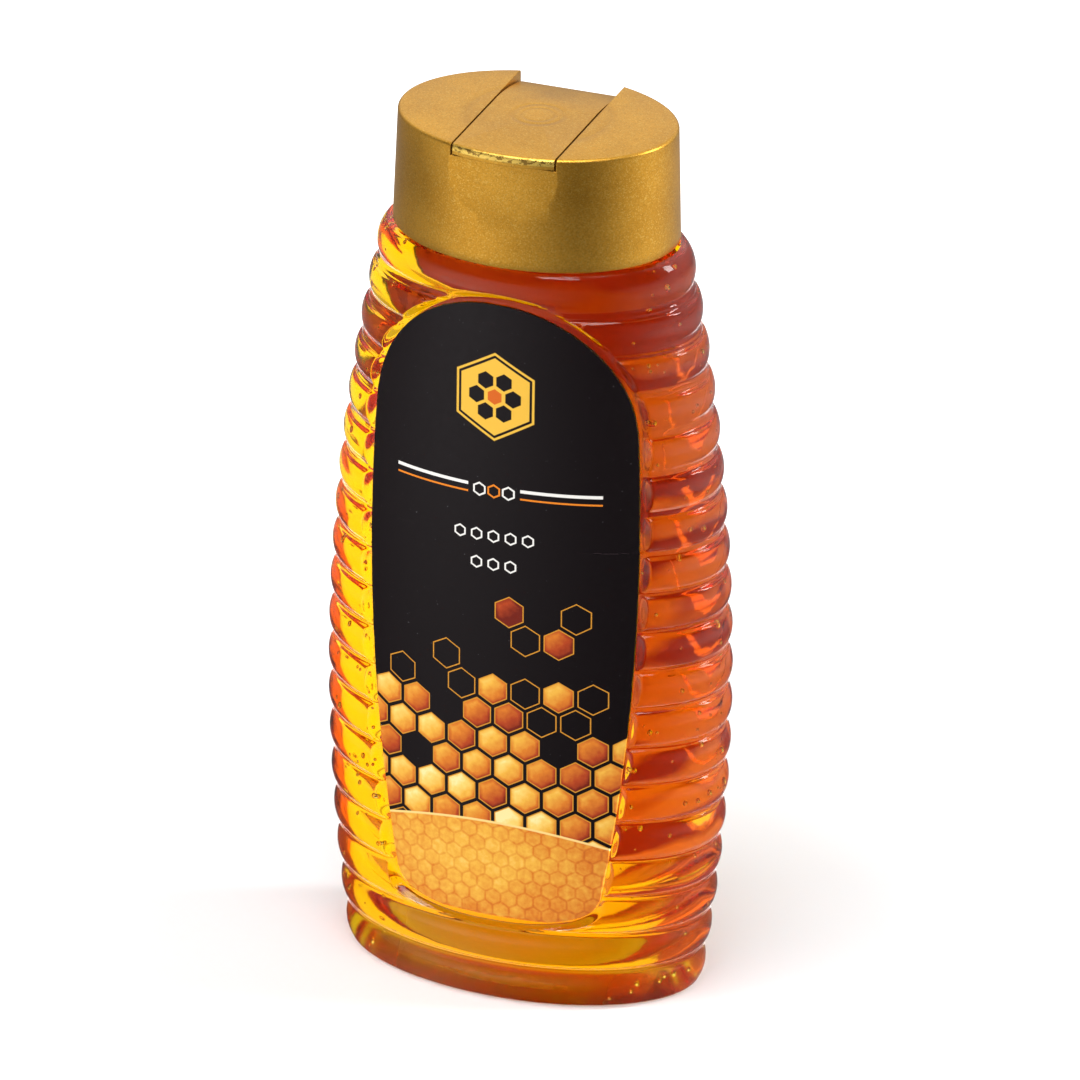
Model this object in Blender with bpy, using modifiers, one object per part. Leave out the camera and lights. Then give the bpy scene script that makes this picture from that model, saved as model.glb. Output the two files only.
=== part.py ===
"""A ribbed squeeze bottle for honey with an oval flip-top closure.

The bottle stands on z = 0 with its width along X and its front label facing -Y.
Every size is in metres and is named below.
"""

import math

import bmesh
import bpy

MM = 0.001

# Body: an oval with stacked round ribs
RIB_COUNT = 19
RIB_PITCH = 8.0 * MM
RIB_RADIUS = 7.3 * MM
RIB_FLAT = 3.2 * MM
BASE_RIB_HEIGHT = 4.3 * MM
WIDEST_HEIGHT = 60.0 * MM
BASE_HALF_WIDTH = 36.5 * MM
WIDEST_HALF_WIDTH = 40.6 * MM
SHOULDER_HALF_WIDTH = 31.2 * MM
BASE_HALF_DEPTH = 22.0 * MM
WIDEST_HALF_DEPTH = 22.4 * MM
SHOULDER_HALF_DEPTH = 21.0 * MM
WALL = 0.8 * MM

# Foot: a standing ring round a push-up
FOOT_INSET = 1.5 * MM
FOOT_CHAMFER = 0.8 * MM
FOOT_RING_WIDTH = 5.0 * MM
PUSH_UP_SLOPE = 4.0 * MM
PUSH_UP_HEIGHT = 2.2 * MM
PUSH_UP_CROWN = 0.8 * MM
PUSH_UP_CROWN_SHARE = 0.33

# Label panels, front and back
PANEL_HALF_WIDTH = 28.6 * MM
PANEL_FOOT_HALF_WIDTH = 22.9 * MM
PANEL_WIDEST_HEIGHT = 97.0 * MM
PANEL_FOOT_DROP = 70.0 * MM
PANEL_TOP_DROP = 1.0 * MM
PANEL_FOOT_RIBS = 1.5
PANEL_ARCH = 28.0 * MM
PANEL_ARCH_POWER = 2.1
PANEL_CORNER = 9.5 * MM
PANEL_CORNER_POWER = 3.2
PANEL_DEPTH = 1.7 * MM
PANEL_STEP = 1.4 * MM
PANEL_GRID_HALF_WIDTH = 12.0 * MM
PANEL_COLUMN_SHARES = (0.0, 0.4, 0.8)
SIDE_COLUMN_SHARES = (0.74, 0.48, 0.24, 0.0)

# Labels
LABEL_BORDER = 1.8 * MM
LABEL_THICKNESS = 0.2 * MM
LABEL_SLANT_SHARE = 0.012
LABEL_END_SHARE = 0.003
LABEL_ROWS = 20
LABEL_COLUMNS = 8

# Shoulder and neck
SHOULDER_RISE = 5.3 * MM
NECK_FILLET = 1.2 * MM
NECK_HEIGHT = 15.2 * MM
NECK_RADIUS = 15.15 * MM
NECK_WALL = 1.55 * MM
NECK_LIP = 0.5 * MM

# Screw thread, the same lead on neck and closure
THREAD_LEAD = 4.23 * MM
THREAD_TURNS = 1.2
THREAD_START = 5.2 * MM
THREAD_HEIGHT = 1.0 * MM
THREAD_ROOT_WIDTH = 2.2 * MM
THREAD_CREST_WIDTH = 0.9 * MM
THREAD_SINK = 0.4 * MM
THREAD_STEPS_PER_TURN = 24
CLOSURE_THREAD_HEIGHT = 0.9 * MM
CLOSURE_THREAD_ROOT_WIDTH = 1.5 * MM
CLOSURE_THREAD_CREST_WIDTH = 0.7 * MM
THREAD_CLEARANCE = 0.4 * MM

# Fits
SEAT_GAP = 0.3 * MM
HONEY_DROP = 12.0 * MM

# Mouth seal, valve and its ring
SEAL_THICKNESS = 0.2 * MM
VALVE_RING_PROUD = 0.2 * MM
VALVE_RING_HEIGHT = 0.9 * MM
VALVE_RING_BORE = 5.4 * MM
VALVE_RADIUS = 7.3 * MM
VALVE_FLANGE = 0.8 * MM
VALVE_FLANGE_BORE = 5.0 * MM
VALVE_DISH_RADIUS = 4.4 * MM
VALVE_DISH_DEPTH = 0.9 * MM
VALVE_SKIN = 0.5 * MM
VALVE_SLIT = 6.0 * MM
VALVE_SLIT_WIDTH = 0.3 * MM

# Closure
TURRET_LIP = 0.8 * MM
TURRET_WALL = 1.0 * MM
ORIFICE_RADIUS = 6.2 * MM
DECK_THICKNESS = 1.4 * MM
CAP_BOTTOM_HALF_WIDTH = 27.65 * MM
CAP_BOTTOM_HALF_DEPTH = 21.1 * MM
CAP_TOP_HALF_WIDTH = 26.9 * MM
CAP_TOP_HALF_DEPTH = 20.25 * MM
CAP_SIDE_WALL = 1.6 * MM
CAP_FRONT_WALL = 2.5 * MM
CAP_TOP_WALL = 1.5 * MM
CAP_EDGE = 0.5 * MM
CAP_SEGMENTS = 64
COLLAR_WALL = 1.0 * MM
COLLAR_LIFT = 0.8 * MM
TURNED_SEGMENTS = 40

# Flip lid and its slot
LID_HALF_WIDTH = 10.1 * MM
LID_THICKNESS = 1.5 * MM
LID_REAR_THICKNESS = 1.2 * MM
LID_CLEARANCE = 1.0 * MM
LID_LIP_HEIGHT = 2.0 * MM
LID_LIP_DEPTH = 2.8 * MM
LID_REAR_DROP = 2.2 * MM
LID_SLOPE_START = 4.0 * MM
LID_SLOPE_STEPS = 6
SLOT_WALL = 1.5 * MM
HINGE_INSET = 1.3 * MM
HINGE_REACH = 0.7 * MM
HINGE_RECESS = 0.5 * MM
HINGE_RECESS_LENGTH = 1.4 * MM
HINGE_WEB_THICKNESS = 0.3 * MM
HINGE_WEB_LENGTH = 1.0 * MM
HINGE_WEB_HALF_WIDTH = 9.0 * MM
PLUG_RADIUS = 5.9 * MM
PLUG_WALL = 0.8 * MM
PLUG_REACH = 1.7 * MM
STOPPER_RADIUS = 3.6 * MM
STOPPER_WALL = 0.7 * MM
STOPPER_REACH = 2.0 * MM
SCOOP_RADIUS = 31.8 * MM
SCOOP_DEPTH = 1.5 * MM
OVERRUN = 2.0 * MM
WELD = 0.01 * MM
SHARP_ANGLE = math.radians(35)

# Heights that follow from the sizes above
TOP_RIB_HEIGHT = BASE_RIB_HEIGHT + (RIB_COUNT - 1) * RIB_PITCH
LEDGE_HEIGHT = TOP_RIB_HEIGHT + SHOULDER_RISE
NECK_BASE = LEDGE_HEIGHT + NECK_FILLET
NECK_TOP = NECK_BASE + NECK_HEIGHT
NECK_BORE = NECK_RADIUS - NECK_WALL
PANEL_TOP = TOP_RIB_HEIGHT - PANEL_TOP_DROP
PANEL_FOOT = BASE_RIB_HEIGHT + PANEL_FOOT_RIBS * RIB_PITCH
SEAL_BOTTOM = NECK_TOP + SEAT_GAP
SEAL_TOP = SEAL_BOTTOM + SEAL_THICKNESS
VALVE_RING_BOTTOM = SEAL_TOP + SEAT_GAP
VALVE_RING_TOP = VALVE_RING_BOTTOM + VALVE_RING_HEIGHT
VALVE_BOTTOM = VALVE_RING_TOP + SEAT_GAP
VALVE_TOP = VALVE_BOTTOM + VALVE_FLANGE
TURRET_POCKET = VALVE_TOP + SEAT_GAP
TURRET_TOP = TURRET_POCKET + TURRET_LIP
DECK_UNDERSIDE = VALVE_RING_BOTTOM + VALVE_RING_PROUD
DECK_TOP = DECK_UNDERSIDE + DECK_THICKNESS
LID_UNDERSIDE = TURRET_TOP + LID_CLEARANCE
CAP_TOP = LID_UNDERSIDE + LID_THICKNESS
CAP_BOTTOM = LEDGE_HEIGHT + SEAT_GAP
LID_LIP_BOTTOM = CAP_TOP - LID_LIP_HEIGHT
COLLAR_BOTTOM = NECK_BASE + COLLAR_LIFT
COLLAR_BORE = NECK_RADIUS + THREAD_HEIGHT + THREAD_CLEARANCE
COLLAR_RADIUS = COLLAR_BORE + COLLAR_WALL
SLOT_HALF_WIDTH = LID_HALF_WIDTH + SEAT_GAP
HINGE_Y = CAP_TOP_HALF_DEPTH - HINGE_INSET
HINGE_Z = CAP_TOP - LID_REAR_DROP - LID_REAR_THICKNESS / 2
LID_REAR_Y = HINGE_Y - HINGE_REACH


def clear_scene():
    for old in list(bpy.data.objects):
        bpy.data.objects.remove(old, do_unlink=True)


def new_collection(name):
    collection = bpy.data.collections.new(name)
    bpy.context.scene.collection.children.link(collection)
    return collection


clear_scene()
PARTS = new_collection("honey_squeeze_bottle")
CUTTERS = new_collection("cutters")


def material(name, color, roughness, metallic=0.0, alpha=1.0):
    made = bpy.data.materials.new(name)
    made.use_nodes = True
    shader = made.node_tree.nodes["Principled BSDF"]
    shader.inputs["Base Color"].default_value = (*color, 1.0)
    shader.inputs["Roughness"].default_value = roughness
    shader.inputs["Metallic"].default_value = metallic
    shader.inputs["Alpha"].default_value = alpha
    made.diffuse_color = (*color, alpha)
    return made


CLEAR_PET = material("clear_pet", (0.86, 0.62, 0.30), 0.08, alpha=0.6)
HONEY = material("honey", (0.80, 0.33, 0.03), 0.12, alpha=0.9)
BLACK_LABEL = material("black_label", (0.02, 0.016, 0.018), 0.45)
GOLD_PLASTIC = material("gold_plastic", (0.50, 0.30, 0.07), 0.38, metallic=0.55)
SILICONE = material("silicone", (0.78, 0.76, 0.70), 0.5)
WHITE_PLASTIC = material("white_plastic", (0.85, 0.84, 0.80), 0.4)
SEAL_FOIL = material("seal_foil", (0.75, 0.75, 0.76), 0.3, metallic=0.9)


def mesh_object(name, mesh, collection, finish=None):
    made = bpy.data.objects.new(name, mesh)
    collection.objects.link(made)
    if finish:
        mesh.materials.append(finish)
        mesh.shade_smooth()
        mesh.set_sharp_from_angle(angle=SHARP_ANGLE)
    else:
        made.hide_render = True
        made.display_type = "WIRE"
    return made


def skin(name, rings):
    """A closed mesh over rings of equal count, with a pole at each end.

    Each quarter is split along mirrored diagonals, chosen by height, so that a wall
    and what lies inside it are split alike and keep their gap.
    """
    form = bmesh.new()
    rows = [[form.verts.new(point) for point in ring] for ring in rings]
    count = len(rows[0])
    for low, high in zip(rows, rows[1:]):
        rising = low[0].co.z <= high[0].co.z
        for i in range(count):
            j = (i + 1) % count
            mirrored = (4 * i // count) % 2 == 1
            if rising == mirrored:
                form.faces.new((low[i], low[j], high[i]))
                form.faces.new((low[j], high[j], high[i]))
            else:
                form.faces.new((low[i], low[j], high[j]))
                form.faces.new((low[i], high[j], high[i]))
    for row, flip in ((rows[0], True), (rows[-1], False)):
        pole = form.verts.new((0.0, 0.0, row[0].co.z))
        for i in range(count):
            j = (i + 1) % count
            corner = (row[i], row[j], pole)
            form.faces.new(tuple(reversed(corner)) if flip else corner)
    mesh = bpy.data.meshes.new(name)
    form.to_mesh(mesh)
    form.free()
    return mesh


def turned(name, outline, collection, finish=None):
    """A closed outline of (radius, height) turned about Z by a Screw modifier."""
    mesh = bpy.data.meshes.new(name)
    points = [(radius, 0.0, height) for radius, height in outline]
    edges = [(i, (i + 1) % len(points)) for i in range(len(points))]
    if outline[0][0] == 0 and outline[-1][0] == 0:
        edges.pop()
    mesh.from_pydata(points, edges, [])
    made = mesh_object(name, mesh, collection, finish)
    screw = made.modifiers.new("turn", "SCREW")
    screw.axis = "Z"
    screw.steps = TURNED_SEGMENTS
    screw.render_steps = TURNED_SEGMENTS
    screw.use_merge_vertices = True
    screw.merge_threshold = WELD
    screw.use_smooth_shade = True
    return made


def block(name, low, high):
    """A box between two corners, used as a cutter or an addition."""
    form = bmesh.new()
    bmesh.ops.create_cube(form, size=1.0)
    for vert in form.verts:
        for axis in range(3):
            share = vert.co[axis] + 0.5
            vert.co[axis] = low[axis] + share * (high[axis] - low[axis])
    mesh = bpy.data.meshes.new(name)
    form.to_mesh(mesh)
    form.free()
    return mesh_object(name, mesh, CUTTERS)


def combine(target, tool, operation):
    step = target.modifiers.new(tool.name, "BOOLEAN")
    step.operation = operation
    step.solver = "EXACT"
    step.object = tool


def settled(source, name):
    """The evaluated mesh of an object, without its modifiers."""
    graph = bpy.context.evaluated_depsgraph_get()
    mesh = bpy.data.meshes.new_from_object(source.evaluated_get(graph))
    mesh.name = name
    return mesh


# The bottle's outside

def bulge(height, foot, widest, shoulder):
    """A width or depth that swells to its widest and draws in towards both ends."""
    if height < WIDEST_HEIGHT:
        span = WIDEST_HEIGHT - BASE_RIB_HEIGHT
        end = foot
    else:
        span = TOP_RIB_HEIGHT - WIDEST_HEIGHT
        end = shoulder
    return widest - (widest - end) * ((height - WIDEST_HEIGHT) / span) ** 2


def half_width(height):
    return bulge(height, BASE_HALF_WIDTH, WIDEST_HALF_WIDTH, SHOULDER_HALF_WIDTH)


def half_depth(height):
    return bulge(height, BASE_HALF_DEPTH, WIDEST_HALF_DEPTH, SHOULDER_HALF_DEPTH)


def rib_height(index):
    return BASE_RIB_HEIGHT + index * RIB_PITCH


def rib_arc(index, height):
    """Half width of one round rib, or of its lower or upper edge beyond its reach."""
    rise = min(abs(height - rib_height(index)), RIB_RADIUS)
    return half_width(rib_height(index)) - RIB_RADIUS + math.sqrt(RIB_RADIUS ** 2 - rise ** 2)


def rib_depth(height):
    """How far the ribbed wall lies inside the smooth swell at a height."""
    nearest = round((height - BASE_RIB_HEIGHT) / RIB_PITCH)
    near = [min(max(nearest + k, 0), RIB_COUNT - 1) for k in (-1, 0, 1)]
    return half_width(height) - max(rib_arc(index, height) for index in near)


def groove_height(index):
    """Where the round sections of two neighbouring ribs meet."""
    step = half_width(rib_height(index + 1)) - half_width(rib_height(index))
    centres = math.hypot(step, RIB_PITCH)
    reach = math.sqrt(RIB_RADIUS ** 2 - (centres / 2) ** 2)
    return rib_height(index) + RIB_PITCH / 2 - reach * step / centres


def panel_half_width(height, inset):
    """Half width of the label panel's outline, drawn in by an inset; 0 outside it."""
    low = PANEL_FOOT + inset
    high = PANEL_TOP - inset
    if height <= low or height >= high:
        return 0.0
    drop = (height - PANEL_WIDEST_HEIGHT) / PANEL_FOOT_DROP
    side = PANEL_HALF_WIDTH - inset - (PANEL_HALF_WIDTH - PANEL_FOOT_HALF_WIDTH) * drop ** 2
    arch = max(0.0, 1 - (high - height) / PANEL_ARCH)
    corner = max(0.0, 1 - (height - low) / PANEL_CORNER)
    side *= (1 - arch ** PANEL_ARCH_POWER) ** (1 / PANEL_ARCH_POWER)
    side *= (1 - corner ** PANEL_CORNER_POWER) ** (1 / PANEL_CORNER_POWER)
    return side


def surface_depth(x, height):
    """Depth of the bottle's outside below the smooth swell, ribs or panel."""
    if x < panel_half_width(height, 0.0):
        return PANEL_DEPTH
    return rib_depth(height)


def inside_depth(x, height):
    """Depth of the inside wall: a wall behind the deepest outside nearby."""
    near = (-WALL, 0.0, WALL)
    return WALL + max(surface_depth(x + dx, height + dz) for dx in near for dz in near)


def columns_at(height, shift):
    """Distances from the middle of the vertical lines of points over a panel."""
    edge = max(panel_half_width(height, 0.0), PANEL_GRID_HALF_WIDTH) + shift
    inner = edge - PANEL_STEP / 2
    return [inner * share for share in PANEL_COLUMN_SHARES] + [inner, edge + PANEL_STEP / 2]


def quadrant_to_ring(quadrant, height):
    """Mirror a quadrant's points, front middle to side, into a full ring."""
    right = quadrant + [(x, -y) for x, y in reversed(quadrant[:-1])]
    left = [(-x, y) for x, y in reversed(right[1:-1])]
    return [(x, y, height) for x, y in right + left]


def oval_point(width, depth, angle):
    return (width * math.cos(angle), -depth * math.sin(angle))


def wall_ring(height, depth_at, shift):
    """One ring of the ribbed wall, with points on the panel's edge."""
    quadrant = []
    for x in columns_at(height, shift):
        inset = depth_at(x, height)
        width = half_width(height) - inset
        depth = half_depth(height) - inset
        quadrant.append((x, -depth * math.sqrt(1 - (x / width) ** 2)))
    inset = depth_at(half_width(height), height)
    width = half_width(height) - inset
    depth = half_depth(height) - inset
    last_angle = math.acos(quadrant[-1][0] / width)
    quadrant += [oval_point(width, depth, last_angle * share) for share in SIDE_COLUMN_SHARES]
    return quadrant_to_ring(quadrant, height)


def plain_ring(width, depth, height, guide_height):
    """An oval ring whose points line up with the wall's points at a guide height."""
    guide = half_width(guide_height)
    angles = [math.acos(x / guide) for x in columns_at(guide_height, 0.0)]
    angles += [angles[-1] * share for share in SIDE_COLUMN_SHARES]
    return quadrant_to_ring([oval_point(width, depth, angle) for angle in angles], height)


def rib_levels(flat):
    """Heights of the rings of points, groove and crest of each rib in turn."""
    levels = []
    for index in range(RIB_COUNT):
        levels += [rib_height(index) - flat / 2]
        if flat:
            levels += [rib_height(index) + flat / 2]
        if index < RIB_COUNT - 1:
            levels.append(groove_height(index))
    return levels


def shoulder_rings(inset):
    """Rings over the top rib and in along a flat ledge, on which the cap turns."""
    def above(rise):
        return RIB_RADIUS - math.sqrt(RIB_RADIUS ** 2 - rise ** 2) + inset

    rings = []
    middle = (RIB_FLAT / 2 + SHOULDER_RISE) / 2
    for rise in (middle, SHOULDER_RISE):
        width = SHOULDER_HALF_WIDTH - above(rise)
        depth = SHOULDER_HALF_DEPTH - above(rise)
        rings.append(plain_ring(width, depth, TOP_RIB_HEIGHT + rise - inset, TOP_RIB_HEIGHT))
    radius = NECK_RADIUS + NECK_FILLET - inset
    rings.append(plain_ring(radius, radius, LEDGE_HEIGHT - inset, TOP_RIB_HEIGHT))
    return rings


def bottle_rings():
    width = half_width(BASE_RIB_HEIGHT) - FOOT_INSET
    depth = half_depth(BASE_RIB_HEIGHT) - FOOT_INSET
    ring_in = FOOT_RING_WIDTH
    slope_in = FOOT_RING_WIDTH + PUSH_UP_SLOPE
    crown = PUSH_UP_HEIGHT + PUSH_UP_CROWN
    foot = [
        (width * PUSH_UP_CROWN_SHARE, depth * PUSH_UP_CROWN_SHARE, crown),
        (width - slope_in, depth - slope_in, PUSH_UP_HEIGHT),
        (width - ring_in, depth - ring_in, 0.0),
        (width, depth, 0.0),
        (width + FOOT_CHAMFER, depth + FOOT_CHAMFER, FOOT_CHAMFER),
    ]
    outside = [plain_ring(*size, BASE_RIB_HEIGHT) for size in foot]
    outside += [wall_ring(level, surface_depth, 0.0) for level in rib_levels(RIB_FLAT)]
    outside += shoulder_rings(0.0)
    neck = [
        (NECK_RADIUS, NECK_BASE),
        (NECK_RADIUS, NECK_TOP - NECK_LIP),
        (NECK_RADIUS - NECK_LIP, NECK_TOP),
        (NECK_BORE, NECK_TOP),
        (NECK_BORE, NECK_BASE - WALL),
    ]
    outside += [plain_ring(radius, radius, height, TOP_RIB_HEIGHT) for radius, height in neck]
    return outside + list(reversed(inside_rings(0.0)))


def inside_rings(gap):
    """Rings of the inside wall from floor to shoulder, drawn in by a gap."""
    inset = WALL + gap
    width = half_width(BASE_RIB_HEIGHT) - FOOT_INSET
    depth = half_depth(BASE_RIB_HEIGHT) - FOOT_INSET
    slope_in = FOOT_RING_WIDTH + PUSH_UP_SLOPE
    crown = PUSH_UP_HEIGHT + PUSH_UP_CROWN + inset
    floor = [
        (width * PUSH_UP_CROWN_SHARE, depth * PUSH_UP_CROWN_SHARE, crown),
        (width - slope_in, depth - slope_in, PUSH_UP_HEIGHT + inset),
        (width - FOOT_RING_WIDTH, depth - FOOT_RING_WIDTH, inset),
        (width - inset, depth - inset, inset),
    ]

    def depth_at(x, height):
        return inside_depth(x, height) + gap

    rings = [plain_ring(*size, BASE_RIB_HEIGHT) for size in floor]
    rings += [wall_ring(level, depth_at, WALL) for level in rib_levels(0.0)]
    return rings + shoulder_rings(inset)


def helical_ridge(name, root, crest, root_width, crest_width, start, sink):
    """A thread ridge on a right-hand helix; its ends run out to nothing."""
    steps = round(THREAD_TURNS * THREAD_STEPS_PER_TURN)
    form = bmesh.new()
    rows = []
    for i in range(steps + 1):
        angle = 2 * math.pi * i / THREAD_STEPS_PER_TURN
        height = start + THREAD_LEAD * i / THREAD_STEPS_PER_TURN
        run_out_share = min(1.0, (i + 1) / 4, (steps - i + 1) / 4)
        tip = root + (crest - root) * run_out_share
        section = [
            (root - sink, -root_width / 2),
            (tip, -crest_width / 2),
            (tip, crest_width / 2),
            (root - sink, root_width / 2),
        ]
        rows.append([
            form.verts.new((r * math.cos(angle), r * math.sin(angle), height + dz))
            for r, dz in section
        ])
    for low, high in zip(rows, rows[1:]):
        for i in range(4):
            j = (i + 1) % 4
            form.faces.new((low[i], low[j], high[j], high[i]))
    form.faces.new(rows[0])
    form.faces.new(tuple(reversed(rows[-1])))
    bmesh.ops.recalc_face_normals(form, faces=form.faces)
    mesh = bpy.data.meshes.new(name)
    form.to_mesh(mesh)
    form.free()
    return mesh_object(name, mesh, CUTTERS)


def make_bottle():
    bottle = mesh_object("bottle", skin("bottle", bottle_rings()), PARTS, CLEAR_PET)
    ridge = helical_ridge(
        "neck_thread",
        NECK_RADIUS,
        NECK_RADIUS + THREAD_HEIGHT,
        THREAD_ROOT_WIDTH,
        THREAD_CREST_WIDTH,
        NECK_BASE + THREAD_START,
        THREAD_SINK,
    )
    combine(bottle, ridge, "UNION")
    return bottle


def make_honey():
    rings = inside_rings(SEAT_GAP)
    radius = NECK_BORE - SEAT_GAP
    for height in (NECK_BASE - WALL - SEAT_GAP, NECK_TOP - HONEY_DROP):
        rings.append(plain_ring(radius, radius, height, TOP_RIB_HEIGHT))
    return mesh_object("honey", skin("honey", rings), PARTS, HONEY)


def make_label(name, side, slant):
    """A thin label that lies on a panel; side is -1 for the front and 1 for the back."""
    low = PANEL_FOOT + LABEL_BORDER
    high = PANEL_TOP - LABEL_BORDER
    middle = (low + high) / 2
    form = bmesh.new()
    rows = []
    for i in range(LABEL_ROWS + 1):
        end_share = 0.5 - (0.5 - LABEL_END_SHARE) * math.cos(math.pi * i / LABEL_ROWS)
        height = low + (high - low) * end_share
        reach = panel_half_width(height, LABEL_BORDER)
        width = half_width(height) - PANEL_DEPTH + SEAT_GAP
        depth = half_depth(height) - PANEL_DEPTH + SEAT_GAP
        row = []
        for k in range(LABEL_COLUMNS + 1):
            x = reach * (2 * k / LABEL_COLUMNS - 1) - slant * (height - middle)
            y = side * depth * math.sqrt(1 - (x / width) ** 2)
            row.append(form.verts.new((x, y, height)))
        rows.append(row)
    for low_row, high_row in zip(rows, rows[1:]):
        for k in range(LABEL_COLUMNS):
            corner = (low_row[k], low_row[k + 1], high_row[k + 1], high_row[k])
            form.faces.new(corner if side < 0 else tuple(reversed(corner)))
    mesh = bpy.data.meshes.new(name)
    form.to_mesh(mesh)
    form.free()
    label = mesh_object(name, mesh, PARTS, BLACK_LABEL)
    wall = label.modifiers.new("thickness", "SOLIDIFY")
    wall.thickness = LABEL_THICKNESS
    wall.offset = 1.0
    return label


# The closure

def cap_ring(height, inset_width, inset_depth):
    """One oval ring of the cap's tapered wall, drawn in by an inset."""
    share = (height - CAP_BOTTOM) / (CAP_TOP - CAP_BOTTOM)
    width = CAP_BOTTOM_HALF_WIDTH + (CAP_TOP_HALF_WIDTH - CAP_BOTTOM_HALF_WIDTH) * share
    depth = CAP_BOTTOM_HALF_DEPTH + (CAP_TOP_HALF_DEPTH - CAP_BOTTOM_HALF_DEPTH) * share
    ring = []
    for i in range(CAP_SEGMENTS):
        angle = 2 * math.pi * i / CAP_SEGMENTS
        x = (width - inset_width) * math.cos(angle)
        y = (depth - inset_depth) * math.sin(angle)
        ring.append((x, y, height))
    return ring


def cap_outside():
    """Outside of the cap from its lower rim up to the rounded top edge."""
    half_edge = CAP_EDGE / 4
    return [
        cap_ring(CAP_BOTTOM, half_edge, half_edge),
        cap_ring(CAP_BOTTOM + CAP_EDGE / 2, 0.0, 0.0),
        cap_ring(CAP_TOP - CAP_EDGE, 0.0, 0.0),
        cap_ring(CAP_TOP - CAP_EDGE / 3, half_edge, half_edge),
        cap_ring(CAP_TOP, CAP_EDGE, CAP_EDGE),
    ]


def cap_blank(name):
    """The cap's outer form as one solid, for pieces that share its outside."""
    return mesh_object(name, skin(name, cap_outside()), CUTTERS)


def make_closure_base():
    ceiling = CAP_TOP - CAP_TOP_WALL
    inside = [
        cap_ring(ceiling, CAP_SIDE_WALL, CAP_FRONT_WALL),
        cap_ring(CAP_BOTTOM, CAP_SIDE_WALL, CAP_FRONT_WALL),
    ]
    shell = skin("closure_base", inside + cap_outside())
    base = mesh_object("closure_base", shell, PARTS, GOLD_PLASTIC)

    channel_half_width = SLOT_HALF_WIDTH + SLOT_WALL
    channel = block(
        "slot_channel",
        (-channel_half_width, -CAP_TOP_HALF_DEPTH, DECK_UNDERSIDE),
        (channel_half_width, CAP_TOP_HALF_DEPTH, CAP_TOP - CAP_TOP_WALL / 2),
    )
    core_inset = CAP_SIDE_WALL / 2
    core = skin("channel_core", [
        cap_ring(CAP_BOTTOM, core_inset, core_inset),
        cap_ring(CAP_TOP, core_inset, core_inset),
    ])
    combine(channel, mesh_object("channel_core", core, CUTTERS), "INTERSECT")
    combine(base, channel, "UNION")

    collar = turned("collar", [
        (COLLAR_RADIUS, CAP_TOP - CAP_TOP_WALL / 2),
        (COLLAR_RADIUS, COLLAR_BOTTOM),
        (COLLAR_BORE, COLLAR_BOTTOM),
        (COLLAR_BORE, CAP_TOP - CAP_TOP_WALL / 2),
    ], CUTTERS)
    combine(base, collar, "UNION")
    ridge = helical_ridge(
        "closure_thread",
        COLLAR_BORE,
        COLLAR_BORE - CLOSURE_THREAD_HEIGHT,
        CLOSURE_THREAD_ROOT_WIDTH,
        CLOSURE_THREAD_CREST_WIDTH,
        NECK_BASE + THREAD_START + THREAD_LEAD / 2,
        -THREAD_SINK,
    )
    combine(base, ridge, "UNION")

    front_wall = CAP_TOP_HALF_DEPTH - CAP_FRONT_WALL
    beyond = CAP_TOP_HALF_DEPTH + OVERRUN
    slot = block(
        "slot",
        (-SLOT_HALF_WIDTH, -front_wall, DECK_TOP),
        (SLOT_HALF_WIDTH, beyond, CAP_TOP + OVERRUN),
    )
    combine(base, slot, "DIFFERENCE")
    lip_slot = block(
        "lip_slot",
        (-SLOT_HALF_WIDTH, -beyond, LID_LIP_BOTTOM - SEAT_GAP),
        (SLOT_HALF_WIDTH, beyond, CAP_TOP + OVERRUN),
    )
    combine(base, lip_slot, "DIFFERENCE")
    recess = block(
        "hinge_recess",
        (-SLOT_HALF_WIDTH, HINGE_Y - HINGE_RECESS_LENGTH, DECK_TOP - HINGE_RECESS),
        (SLOT_HALF_WIDTH, beyond, CAP_TOP + OVERRUN),
    )
    combine(base, recess, "DIFFERENCE")
    combine(base, make_scoop_cutter(), "DIFFERENCE")

    turret_radius = VALVE_RADIUS + SEAT_GAP + TURRET_WALL
    turret = turned("turret", [
        (0.0, TURRET_TOP),
        (turret_radius, TURRET_TOP),
        (turret_radius, DECK_TOP - DECK_THICKNESS / 2),
        (0.0, DECK_TOP - DECK_THICKNESS / 2),
    ], CUTTERS)
    combine(base, turret, "UNION")
    pocket = turned("valve_pocket", [
        (0.0, TURRET_TOP + OVERRUN),
        (ORIFICE_RADIUS, TURRET_TOP + OVERRUN),
        (ORIFICE_RADIUS, TURRET_POCKET),
        (VALVE_RADIUS + SEAT_GAP, TURRET_POCKET),
        (VALVE_RADIUS + SEAT_GAP, DECK_UNDERSIDE - OVERRUN),
        (0.0, DECK_UNDERSIDE - OVERRUN),
    ], CUTTERS)
    combine(base, pocket, "DIFFERENCE")
    return base


def make_scoop_cutter():
    """A long roller across X that hollows the front wall under the lid's lip."""
    top = LID_LIP_BOTTOM - SEAT_GAP
    form = bmesh.new()
    bmesh.ops.create_cone(
        form,
        cap_ends=True,
        segments=CAP_SEGMENTS * 2,
        radius1=SCOOP_RADIUS,
        radius2=SCOOP_RADIUS,
        depth=2 * CAP_BOTTOM_HALF_WIDTH,
    )
    front = -CAP_TOP_HALF_DEPTH + SCOOP_DEPTH
    for vert in form.verts:
        across, along, length = vert.co
        vert.co = (length, front - SCOOP_RADIUS + across, top + along)
    mesh = bpy.data.meshes.new("thumb_scoop")
    form.to_mesh(mesh)
    form.free()
    return mesh_object("thumb_scoop", mesh, CUTTERS)


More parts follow.
